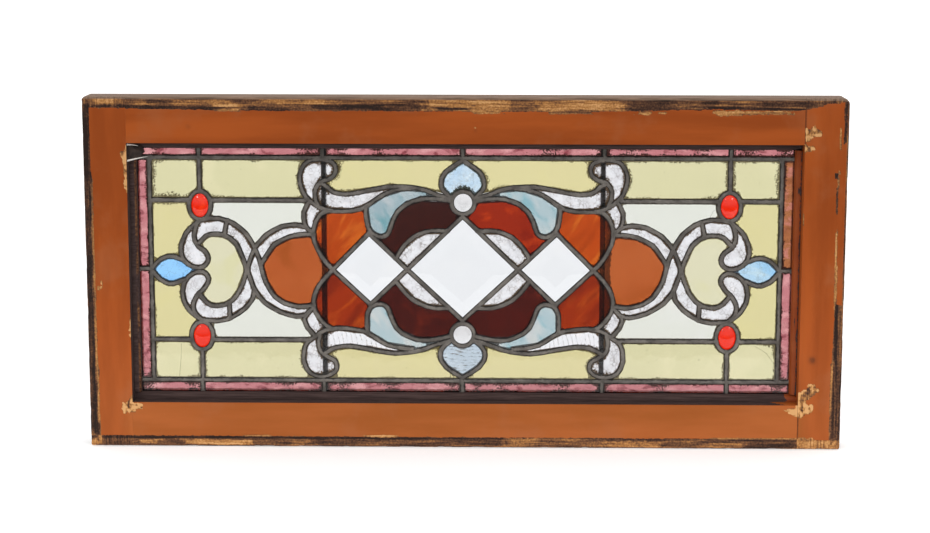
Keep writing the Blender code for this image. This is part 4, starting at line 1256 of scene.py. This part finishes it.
# Marks on the bare wood from one corner to the other, with a tone: 0 black dirt, 0.5 brown, 1 pale gold
MARKS = (
    ((-457, 0), (457, 13.5), 0.36), ((-457, 410), (457, 428), 0.42), ((-457, 412), (-405, 428), 0.5),
    ((-437, 420), (-421, 426), 0.75), ((-444, 414), (-418, 418), 0.05), ((-412, 413), (-392, 418), 0.12),
    ((-392, 418), (-366, 421), 0.66), ((-380, 420), (-352, 424), 0.14), ((-392, 413), (-345, 417), 0.08),
    ((-352, 417.5), (-280, 423), 0.66), ((-345, 412), (-290, 416), 0.1), ((-300, 416), (-270, 419), 0.8),
    ((-250, 419), (-165, 425), 0.66), ((-262, 410), (-205, 416), 0.08), ((-205, 411), (-150, 415), 0.3),
    ((-178, 413), (-95, 418.5), 0.12), ((-95, 411), (-48, 420), 0.2), ((-48, 412), (62, 424.5), 0.74),
    ((-32, 413), (5, 415), 0.2), ((55, 411), (86, 424.5), 0.5), ((86, 412.5), (192, 424), 0.74),
    ((196, 411), (245, 426), 0.2), ((240, 411), (300, 414.5), 0.08), ((283, 420), (300, 425), 0.12),
    ((290, 413), (420, 417), 0.03), ((350, 417.5), (440, 424.4), 0.22), ((376, 415), (432, 416.8), 0.6),
    ((400, 410.5), (424, 414.5), 0.06), ((-440, 9.5), (-40, 12.9), 0.04), ((-40, 10), (400, 12.6), 0.14),
    ((-457, 0), (-451.5, 18), 0.98), ((-451, 2), (-444, 14), 0.66), ((-397, 3), (-374, 8.5), 0.74),
    ((-345, 1.5), (-262, 8.5), 0.8), ((-213, 1), (-192, 8), 0.62), ((50, 1), (92, 12), 0.62),
    ((92, 0), (172, 12), 0.48), ((172, 1), (243, 9), 0.72), ((243, 0), (300, 12), 0.44),
    ((300, 1), (345, 8), 0.6), ((345, 0), (404, 12), 0.22), ((404, 0), (457, 11), 0.74),
    ((-457, 13), (-447, 340), 0.14), ((-449, 75), (-446.2, 330), 0.66), ((-448.3, 22), (-445, 75), 0.55),
    ((-450.6, 20), (-448.2, 75), 0.04), ((-457, 18), (-449, 45), 0.1), ((-457, 330), (-448, 416), 0.0),
    ((446, 12), (457, 105), 0.22), ((451.4, 105), (457, 178), 0.42), ((454.4, 178), (457, 420), 0.42),
)
# Marks that also take the paint away
BARE_MARKS = (
    ((-300, 410.4), (-272, 413.2), 0.8), ((204, 407.5), (223, 411.5), 0.76),
    ((231, 408.4), (239, 411), 0.74), ((297, 407), (326, 412.6), 0.78), ((326, 408), (389, 412.6), 0.74),
    ((10, 408.2), (46, 411.6), 0.7), ((100, 408.2), (150, 411.6), 0.55),
    ((-270, 12.3), (-236, 14.4), 0.8), ((-122, 12.4), (-82, 14.8), 0.85), ((300, 12), (404, 13.9), 0.75),
    ((406, 12), (426, 14.2), 0.9), ((444.4, 172), (448, 226), 0.78), ((444.2, 220), (446.8, 266), 0.76),
    ((444.6, 320), (447.2, 332), 0.7), ((446, 335), (448.4, 341), 0.9), ((446, 381), (448.2, 394), 0.8),
    ((446.4, 368), (448.2, 377), 0.75), ((452.4, 376), (455.2, 384), 0.85),
    ((441, 332), (445, 339), 0.05), ((443.8, 288), (446, 320), 0.2), ((451, 375), (453.8, 422), 0.1),
    ((443, 48), (446, 106), 0.72), ((446.8, 110), (449.8, 182), -0.2),
    ((-440.2, 197), (-437.6, 205), 0.9), ((-444, 193), (-441, 198), 0.8),
    ((403.8, 279), (406.2, 291), 0.8), ((11.6, 390.6), (14.2, 393), 0.9), ((-454, 14), (-445, 30), 0.0),
)
# Smudges on the paint: x, z and radius in mm, and strength
SMUDGES = ((420.7, 110.8, 4.0, 0.8), (-330, 392, 3.0, 0.25), (13, 388, 2.0, 0.3))
NAIL_HOLES = (-413.0, 411.0)  # x of the holes in the top of the sash
NAIL_HOLE_Y = -4.0
PAINT_THICKNESS = 0.25
WORN_RADIUS = 2.2  # of the outer edges
CORNER_CUT, CORNER_RADIUS = 2.5, 7.0  # of the top corners: cut off at the left, round at the right
SASH_SPACING = 1.8
EDGE_LINES = (0, 0.35, 0.9, 1.8, 3.2)  # distances from an edge at which a member has its closest grid lines
SILL_PAINT_X = 388  # right of this there is paint on the inner face of the bottom rail
SASH_LIP = 8.5  # by which the lip behind the panel reaches into the opening
SASH_VALUES = ("paint", "tone", "grey", "film", "smudge", "faded")


def read_line(value, line):
    """The height of a line of points at each value along it."""
    return np.interp(value, [point[0] for point in line], [point[1] for point in line])


def marked(x, z, marks, ragged):
    """The share of each mark at the points, with its tone: soft at the ends, ragged along the sides."""
    for low, high, tone in marks:
        long_x, long_z = high[0] - low[0], high[1] - low[1]
        slow_x, slow_z = (9, 1) if long_x > 2.5 * long_z else (1, 9) if long_z > 2.5 * long_x else (1, 1)
        depth = np.minimum.reduce([
            (x - low[0]) / slow_x, (high[0] - x) / slow_x, (z - low[1]) / slow_z, (high[1] - z) / slow_z,
        ])
        yield ease(-0.7, 0.7, depth + ragged * min(1.0, min(long_x, long_z) / 6)), tone


def front_values(x, z):
    """Paint, tone of the bare wood, smudges, and painted light from below that makes the paint paler low
    down, over the front of the sash.
    """
    ragged = 2.0 * (layered(x, z, 9, 51) - 0.5) + 1.6 * (noise(x, z, 2.4, 57) - 0.5)
    crumbs = layered(x, z, 3.2, 59, 2) - 0.5
    inside = np.minimum.reduce([
        read_line(x, TOP_LINE) - z,
        z - read_line(x, BOTTOM_LINE),
        x - read_line(z, LEFT_LINE),
        read_line(z, RIGHT_LINE) - x,
    ])
    paint = ease(-0.6, 0.6, inside + 0.7 * ragged)
    tone = 0.4 + 0.3 * (layered(x * 0.2, z, 5, 61) - 0.5)
    for share, mark in marked(x, z, MARKS, ragged):
        tone += share * (mark + 0.25 * (layered(x * 0.3, z, 4, 63) - 0.5) - tone)
    for share, mark in marked(x, z, BARE_MARKS, 1.3 * ragged):
        tone += share * (mark - tone)
        paint = paint * (1 - share)
    spots = np.stack([x, z], 1)
    for outline in CHIPS:
        near = np.linalg.norm(spots - np.mean(outline, 0), axis=1) < 60
        if near.any():
            depth = edge_distance(spots[near], np.array(outline, float))
            share = ease(-0.5, 0.5, depth + 0.6 * ragged[near] + 3.6 * crumbs[near])
            tone[near] += share * (0.88 + 1.8 * crumbs[near] - tone[near])
            paint[near] = paint[near] * (1 - share)
    seam = (np.abs(x - OPENING_X - 0.2) < 0.7) & ((z < OPENING_LOW) | (z > OPENING_TOP))
    smudge = np.maximum(spotted(x, z, SMUDGES), 0.55 * seam)
    # Painted light from below: the paint is made paler below the opening and towards the bottom of the sash.
    below_opening = ease(70, 40, z) * ease(OPENING_X + 20, OPENING_X - 10, np.abs(x))
    faded = np.clip(0.12 + 0.75 * below_opening + 0.4 * ease(150, 20, z), 0, 1)
    return paint, tone, smudge, faded


def sash_values(points, name):
    """The named values at each point of a member of the sash."""
    x, y, z = points.T
    paint, tone, smudge, faded = front_values(x, z)
    behind = ease(FRONT + 0.8, FRONT + 2.2, y)
    on_top = ease(TOP - 3.0, TOP - 1.8, z)
    outside = (np.abs(x) > HALF_WIDTH - 2) * behind * (1 - on_top)
    under = (z < 2) * behind
    grey = np.maximum(on_top, under)
    reveal = behind * (1 - np.maximum.reduce([on_top, outside, under]))
    blotches = layered(x * 0.4 + y, z * 0.4, 12, 81)
    reveal_paint = np.full(len(x), 1.0 if name == "stile_right" else 0.0)
    if name == "rail_bottom":
        reveal_paint = ease(-1, 1, x - SILL_PAINT_X + 0.8 * (y - FRONT) + 14 * (blotches - 0.5))
    back = ease(BACK - 0.8, BACK - 0.1, y)
    reveal_paint = np.maximum(reveal_paint, ease(0.26, 0.4, blotches) * back)
    paint = paint * (1 - behind) * (1 - on_top) + reveal * reveal_paint
    tone = tone * (1 - behind) + behind * (0.3 + 0.2 * back + 0.3 * (blotches - 0.5))
    tone = tone + outside * np.where(x < 0, -0.2, 0.15)
    film = reveal * (1 - reveal_paint) * (1 - back)
    return dict(zip(SASH_VALUES, (paint, tone, grey, film, smudge * (1 - behind), faded)))


def grid_lines(low, high, spacing):
    """Places from low to high about this far apart, closer together near both ends."""
    ends = [line for line in EDGE_LINES if line < (high - low) / 2]
    inner_low, inner_high = low + ends[-1], high - ends[-1]
    steps = max(1, round((inner_high - inner_low) / spacing))
    middle = np.linspace(inner_low, inner_high, steps + 1)[1:-1]
    return np.array([low + e for e in ends] + list(middle) + [high - e for e in ends[::-1]])


def grid_box(xs, ys, zs):
    """Points and faces of a closed box with these grid lines."""
    lines = (xs, ys, zs)
    index, points, faces = {}, [], []

    def at(spot):
        if spot not in index:
            index[spot] = len(points)
            points.append(tuple(lines[axis][spot[axis]] for axis in range(3)))
        return index[spot]

    for axis in range(3):
        u, v = (axis + 1) % 3, (axis + 2) % 3
        for end in (0, len(lines[axis]) - 1):
            for i in range(len(lines[u]) - 1):
                for j in range(len(lines[v]) - 1):
                    loop = []
                    for di, dj in ((0, 0), (1, 0), (1, 1), (0, 1)):
                        spot = [0, 0, 0]
                        spot[axis], spot[u], spot[v] = end, i + di, j + dj
                        loop.append(at(tuple(spot)))
                    faces.append(tuple(loop if end else loop[::-1]))
    return np.array(points), faces


def drawn_in(reach, size):
    """How far points reach into a square corner, drawn in onto a round or a cut one, as size measures it."""
    return reach * np.where(size > 0, reach.max(1) / np.where(size > 0, size, 1), 1)[:, None]


def rounded(points, low, high, radius):
    """The box's points with its edges and corners rounded."""
    low, high = np.array(low), np.array(high)
    near_high = points > (low + high) / 2
    depth = np.where(near_high, high - points, points - low)
    reach = np.clip(radius - depth, 0, None)
    depth = np.where(reach > 0, radius - drawn_in(reach, np.linalg.norm(reach, axis=1)), depth)
    return np.where(near_high, high - depth, low + depth)


def corner_cut(points, corner_x, amount, chamfered):
    """The top corner at this x cut off straight, or rounded."""
    side = math.copysign(1, corner_x)
    reach = np.stack([
        np.clip(amount - side * (corner_x - points[:, 0]), 0, None),
        np.clip(amount - (TOP - points[:, 2]), 0, None),
    ], 1)
    cut = reach - drawn_in(reach, reach.sum(1) if chamfered else np.linalg.norm(reach, axis=1))
    moved = points.copy()
    moved[:, 0] -= side * cut[:, 0]
    moved[:, 2] -= cut[:, 1]
    return moved


def opened(low, high):
    """The box of a member let out where it meets another or the panel, so that only outer edges are worn."""
    outer_low, outer_high = np.array((-HALF_WIDTH, FRONT, 0)), np.array((HALF_WIDTH, BACK, TOP))
    low = np.where(np.abs(low - outer_low) < 1, low, low - 5)
    return low, np.where(np.abs(high - outer_high) < 1, high, high + 5)


def weathered(points, values):
    """Wear of a member: dented outer edges, and bare wood lower than the paint around it."""
    x, y, z = points.T
    worn = points.copy()
    near_front = ease(FRONT + 5, FRONT, y)
    dents = ease(0.52, 0.8, layered(x, z, 14, 91)) * 0.9 + 0.25 * noise(x, z, 6, 95)
    for axis, sign, limit in ((2, -1, TOP), (2, 1, 0.0), (0, -1, HALF_WIDTH), (0, 1, -HALF_WIDTH)):
        near = ease(3.0, 0.0, np.abs(points[:, axis] - limit)) * near_front
        worn[:, axis] += sign * near * dents
    front = y < FRONT + 0.5
    bare = 1 - values["paint"]
    lowered = PAINT_THICKNESS * bare + 0.5 * np.clip(values["tone"], 0, 1) * bare * noise(x, z, 3, 97)
    worn[:, 1] += front * lowered
    worn[:, 2] -= 2.5 * in_nail_hole(points, deep=1.5, outer=2.4, inner=0.6)
    return worn


def in_nail_hole(points, deep, outer, inner):
    """1 within the inner radius of a nail hole and 0 past the outer one, for points this near to the top."""
    x, y, z = points.T
    gap = np.minimum.reduce([np.hypot(x - hole_x, y - NAIL_HOLE_Y) for hole_x in NAIL_HOLES])
    return (z > TOP - deep) * ease(outer, inner, gap)


def box_of(low, high, spacing):
    """Points and faces of a closed box with grid lines this far apart along x, y and z."""
    return grid_box(*[grid_lines(*ends) for ends in zip(low, high, spacing)])


def make_member(name, material, low, high, lip_low, lip_high, corner=None):
    """A stile or a rail with the lip behind the panel: worn along its outer edges, sharp along the others."""
    low, high = np.array(low, float), np.array(high, float)
    spacing = (1.0, 4.0, SASH_SPACING) if name.startswith("stile") else (SASH_SPACING, 4.0, 1.0)
    points, faces = box_of(low, high, spacing)
    values = sash_values(points, name)
    points = rounded(weathered(points, values), low, high, radius=0.15)
    points = rounded(points, *opened(low, high), WORN_RADIUS)
    if corner:
        points = corner_cut(points, *corner)
    hole = in_nail_hole(points, deep=4.0, outer=2.6, inner=1.2)
    values["grey"] = values["grey"] * (1 - hole)
    values["tone"] = values["tone"] - 0.6 * hole
    body = Gathered()
    body.add(points, faces, **values)
    lip_points, lip_faces = box_of(lip_low, lip_high, (12.0,) * 3)
    lip = {key: np.full(len(lip_points), {"paint": 0.9, "tone": 0.3}.get(key, 0.0)) for key in SASH_VALUES}
    body.add(rounded(lip_points, lip_low, lip_high, radius=0.8), lip_faces, **lip)
    body.make(name + "_wood", material, [name])


def make_sash():
    """The four members. The joints at the left are closed, and those at the right open by a hair."""
    upright, level = sash_material("painted_stile", "Z"), sash_material("painted_rail", "X")
    lip_front = PANEL_HIGH.y + JOINT_GAP
    lip_z = (OPENING_LOW + SASH_LIP + JOINT_GAP, OPENING_TOP - SASH_LIP - JOINT_GAP)
    for name, side, corner in (
        ("stile_left", -1, (-HALF_WIDTH, CORNER_CUT, True)),
        ("stile_right", 1, (HALF_WIDTH, CORNER_RADIUS, False)),
    ):
        low_x, high_x = sorted((side * OPENING_X, side * HALF_WIDTH))
        lip_low_x, lip_high_x = sorted((side * (OPENING_X - SASH_LIP), side * (OPENING_X + 1)))
        make_member(
            name, upright, (low_x, FRONT, 0), (high_x, BACK, TOP),
            (lip_low_x, lip_front, lip_z[0]), (lip_high_x, BACK, lip_z[1]), corner,
        )
    reach = OPENING_X - JOINT_GAP
    for name, low_z, high_z, lip_low_z, lip_high_z in (
        ("rail_top", OPENING_TOP, TOP, OPENING_TOP - SASH_LIP, OPENING_TOP + 1),
        ("rail_bottom", 0, OPENING_LOW, OPENING_LOW - 1, OPENING_LOW + SASH_LIP),
    ):
        make_member(
            name, level, (-OPENING_X, FRONT, low_z), (reach, BACK, high_z),
            (-reach, lip_front, lip_low_z), (reach, BACK, lip_high_z),
        )


def bead(name):
    """A quarter-round stop bead: a box rounded on its long edge that faces forward and inward."""
    low, high = (np.array(corner) for corner in box_mm(name))
    long_axis = 2 if name in ("stop_left", "stop_right") else 0
    points, faces = box_of(low, high, (1.0, 1.0, 3.0) if long_axis else (3.0, 1.0, 1.0))
    across = 2 - long_axis
    inward = -1 if name in ("stop_right", "stop_top") else 1
    inner = high[across] if inward > 0 else low[across]
    radius = 0.8 * (high[1] - low[1])
    depths = np.stack([inward * (inner - points[:, across]), points[:, 1] - low[1]], 1)
    reach = np.clip(radius - depths, 0, None)
    cut = reach - drawn_in(reach, np.linalg.norm(reach, axis=1))
    shaped = points.copy()
    shaped[:, across] -= inward * cut[:, 0]
    shaped[:, 1] += cut[:, 1]
    return shaped, faces, bead_values(name, points, long_axis, reach)


def bead_values(name, points, long_axis, reach):
    """The named values at each point of a bead. Reach tells where on its round a point is."""
    x, z = points[:, 0], points[:, 2]
    patches = layered(points[:, long_axis] * 0.4, points[:, 2 - long_axis] * 2, 9, 103)
    turn = np.arctan2(reach[:, 0], reach[:, 1] + 1e-6)
    paint, film = np.zeros(len(x)), np.ones(len(x))
    if name == "stop_right":
        paint = 0.95 - 0.5 * ease(0.12, 0.02, turn) - 0.7 * ease(0.7, 0.85, patches)
        paint = paint * ease(OPENING_LOW + 4, OPENING_LOW + 12, z)
    elif name == "stop_left":
        # Painted highlight: the dark film leaves a stripe of reddish wood where the round of the left bead
        # faces the light
        film = 1 - ease(0.5, 0.8, turn) * ease(1.3, 1.0, turn) * ease(0.25, 0.5, patches)
    elif name == "stop_bottom":
        paint = ease(-1, 1, x - SILL_PAINT_X - 3 + 14 * (patches - 0.5))
    none = np.zeros(len(x))
    return dict(zip(SASH_VALUES, (paint, 0.2 + 0.3 * patches, none, film, none, none)))


def make_beads():
    wood = sash_material("bead_wood", "X", "9C4C20", "8E4018")
    for name in ("stop_top", "stop_bottom", "stop_left", "stop_right"):
        points, faces, values = bead(name)
        piece(name + "_wood", points, faces, wood, [name], values)


def make_bars():
    steel = bar_material()
    for name in BARS:
        low, high = box_mm(name)
        points, faces = box_of(low, high, (8.0,) * 3)
        rubbed = rounded(points, low, high, radius=0.5)
        piece(name + "_steel", rubbed, faces, steel, [name])


def strip_between(points, width, thickness):
    """A thin tapering strip along points in mm, its width upright and its thickness from front to back."""
    verts, faces = [], []
    for share, (x, y, z) in zip(np.linspace(0, 1, len(points)), points):
        half = width / 2 * (1 - 0.85 * share)
        for dz, dy in ((half, 0), (half, thickness), (-half, thickness), (-half, 0)):
            verts.append((x, y + dy, z + dz))
    for i in range(len(points) - 1):
        for k in range(4):
            faces.append((4 * i + k, 4 * i + 4 + k, 4 * i + 4 + (k + 1) % 4, 4 * i + (k + 1) % 4))
    last = 4 * (len(points) - 1)
    faces += [(0, 1, 2, 3), (last + 3, last + 2, last + 1, last)]
    return verts, faces


def plain_material(name, dark, light, roughness, scale):
    material, tree, shader = new_material(name)
    patches = stepped(tree, grainy(tree, scale, 4), 0.3, 0.7)
    put(tree, shader.inputs["Base Color"], mixed(tree, patches, dark, light))
    shader.inputs["Roughness"].default_value = roughness
    bumped(tree, shader, patches, 0.0004, 0.6)
    return material


WEDGE_CORNER = (-OPENING_X + 0.2, FRONT + 9, OPENING_TOP - 0.2)  # its left, front and top


def make_putty_and_corner_shade():
    """A wedge of hard dark putty in the top left corner of the opening, which also stands as painted shade in
    that corner.
    """
    x, front, top = WEDGE_CORNER
    outline = [(0, 0), (10, -2.2), (15.5, -5.5), (18, -13), (13, -18), (0, -20.5)]
    front_depths = [0, 6, 9, 9, 6, 0]
    verts = [(x + a, front + deep, top + b) for (a, b), deep in zip(outline, front_depths)]
    verts += [(x + a, PANEL_LOW.y - 0.5, top + b) for a, b in outline]
    verts.append((x + 9, front + 1.5, top - 9))
    sides = len(outline)
    faces = [(i, (i + 1) % sides, 2 * sides)[::-1] for i in range(sides)]
    faces += [(i, i + sides, (i + 1) % sides + sides, (i + 1) % sides)[::-1] for i in range(sides)]
    faces.append(tuple(range(sides, 2 * sides))[::-1])
    # Dark putty, dark also as painted shade in the corner
    putty_and_shade = plain_material("putty_and_corner_shade", "241A17", "45352D", roughness=0.75, scale=200)
    piece("corner_putty_and_shade", verts, faces, putty_and_shade, smooth=False)


def make_splinters():
    """Two thin pale splinters stuck to the front of the putty, which lean back and curve down."""
    x, front, top = WEDGE_CORNER
    pale = plain_material("pale_splinter", "F2E8DE", "FFFAF4", roughness=0.6, scale=900)
    for name, length, steps, lean, drop, rise, sag in (
        ("splinter_upper", 13, 9, 0.3, 2.2, 0.0, 0.012),
        ("splinter_lower", 23, 12, 0.35, 21.6, 0.24, 0.0025),
    ):
        run = np.linspace(0, length, steps)
        points = np.stack([x + run, front - 4 + lean * run, top - drop + rise * run - sag * run**2], 1)
        verts, faces = strip_between(points, width=2.2, thickness=0.6)
        piece(name, verts, faces, pale, smooth=False)


# Stage, light and camera, in metres


FLOOR_GAP = 0.0005  # between the sill edge and the floor
PAPER_GLOW = 0.3
DIM = (0.12, 0.12, 0.12, 1)  # what lights the window from below, where there is no lamp
WHITE = (1, 1, 1, 1)
SOFT_BOXES = ((-1.4, -1.8, 1.75), (1.4, -1.8, 1.75))  # one for each of the two highlights on a jewel
SOFT_BOX_SIZE, SOFT_BOX_POWER = 0.3, 6.0
AIM = (0, 0, 0.2)
LENS, SENSOR = 82.9, 36  # mm
CAMERA_AZIMUTH, CAMERA_ELEVATION, CAMERA_ROLL = (math.radians(angle) for angle in (1.03, 9.59, 0.063))
CAMERA_DISTANCE, CAMERA_TARGET = 2.6, (0.0003, 0, 0.2204)


def make_stage():
    """A pale floor that curves up into a backdrop."""
    material, tree, shader = new_material("pale_paper")
    white = mixed(tree, grainy(tree, 3, 2), "F6F6F6", "FAFAFA")
    put(tree, shader.inputs["Base Color"], white)
    put(tree, shader.inputs["Emission Color"], white)
    shader.inputs["Emission Strength"].default_value = PAPER_GLOW
    shader.inputs["Roughness"].default_value = 0.9
    shader.inputs["Specular IOR Level"].default_value = 0.0
    near, far, bend, wide, tall = -0.5, 4.5, 1.5, 9.0, 6.0
    turns = np.linspace(0, math.pi / 2, 16)
    curve = [(far - bend + bend * math.sin(turn), bend - bend * math.cos(turn)) for turn in turns]
    outline = [(near, 0.0), *curve, (far, tall)]
    verts = [(side * wide, y, z - FLOOR_GAP) for side in (-1, 1) for y, z in outline]
    count = len(outline)
    faces = [(i, i + count, i + count + 1, i + 1) for i in range(count - 1)]
    mesh = bpy.data.meshes.new("backdrop")
    mesh.from_pydata(verts, [], faces)
    mesh.shade_smooth()
    mesh.materials.append(material)
    obj = bpy.data.objects.new("backdrop", mesh)
    bpy.context.scene.collection.objects.link(obj)


def make_lights():
    """A white room that is dim below, and two soft boxes in front of the window."""
    world = bpy.data.worlds.new("studio")
    world.use_nodes = True
    tree = world.node_tree
    background = tree.nodes["Background"]
    place = node(tree, "TexCoord").outputs["Generated"]
    upward = node(tree, "SeparateXYZ", Vector=place).outputs["Z"]
    put(tree, background.inputs["Color"], mixed(tree, stepped(tree, upward, -0.3, 0.36), DIM, WHITE))
    background.inputs["Strength"].default_value = 1.0
    bpy.context.scene.world = world
    for spot in SOFT_BOXES:
        data = bpy.data.lights.new("soft_box", "AREA")
        data.shape = "SQUARE"
        data.size = SOFT_BOX_SIZE
        data.energy = SOFT_BOX_POWER
        lamp = bpy.data.objects.new("soft_box", data)
        bpy.context.scene.collection.objects.link(lamp)
        lamp.location = spot
        lamp.rotation_euler = (Vector(AIM) - lamp.location).to_track_quat("-Z", "Y").to_euler()


def make_camera():
    data = bpy.data.cameras.new("camera")
    data.lens = LENS
    data.sensor_width = SENSOR
    data.clip_end = 50
    camera = bpy.data.objects.new("camera", data)
    bpy.context.scene.collection.objects.link(camera)
    level = math.cos(CAMERA_ELEVATION)
    offset = Vector((
        level * math.sin(CAMERA_AZIMUTH), -level * math.cos(CAMERA_AZIMUTH), math.sin(CAMERA_ELEVATION),
    ))
    camera.location = Vector(CAMERA_TARGET) + CAMERA_DISTANCE * offset
    facing = (-offset).to_track_quat("-Z", "Y").to_matrix()
    camera.rotation_euler = (facing @ Matrix.Rotation(CAMERA_ROLL, 3, "Z")).to_euler()
    bpy.context.scene.camera = camera


bpy.context.scene.view_settings.view_transform = "Standard"
make_lead()
make_glass()
make_small_glass()
make_jewels()
make_sash()
make_beads()
make_bars()
make_putty_and_corner_shade()
make_splinters()
make_stage()
make_lights()
make_camera()
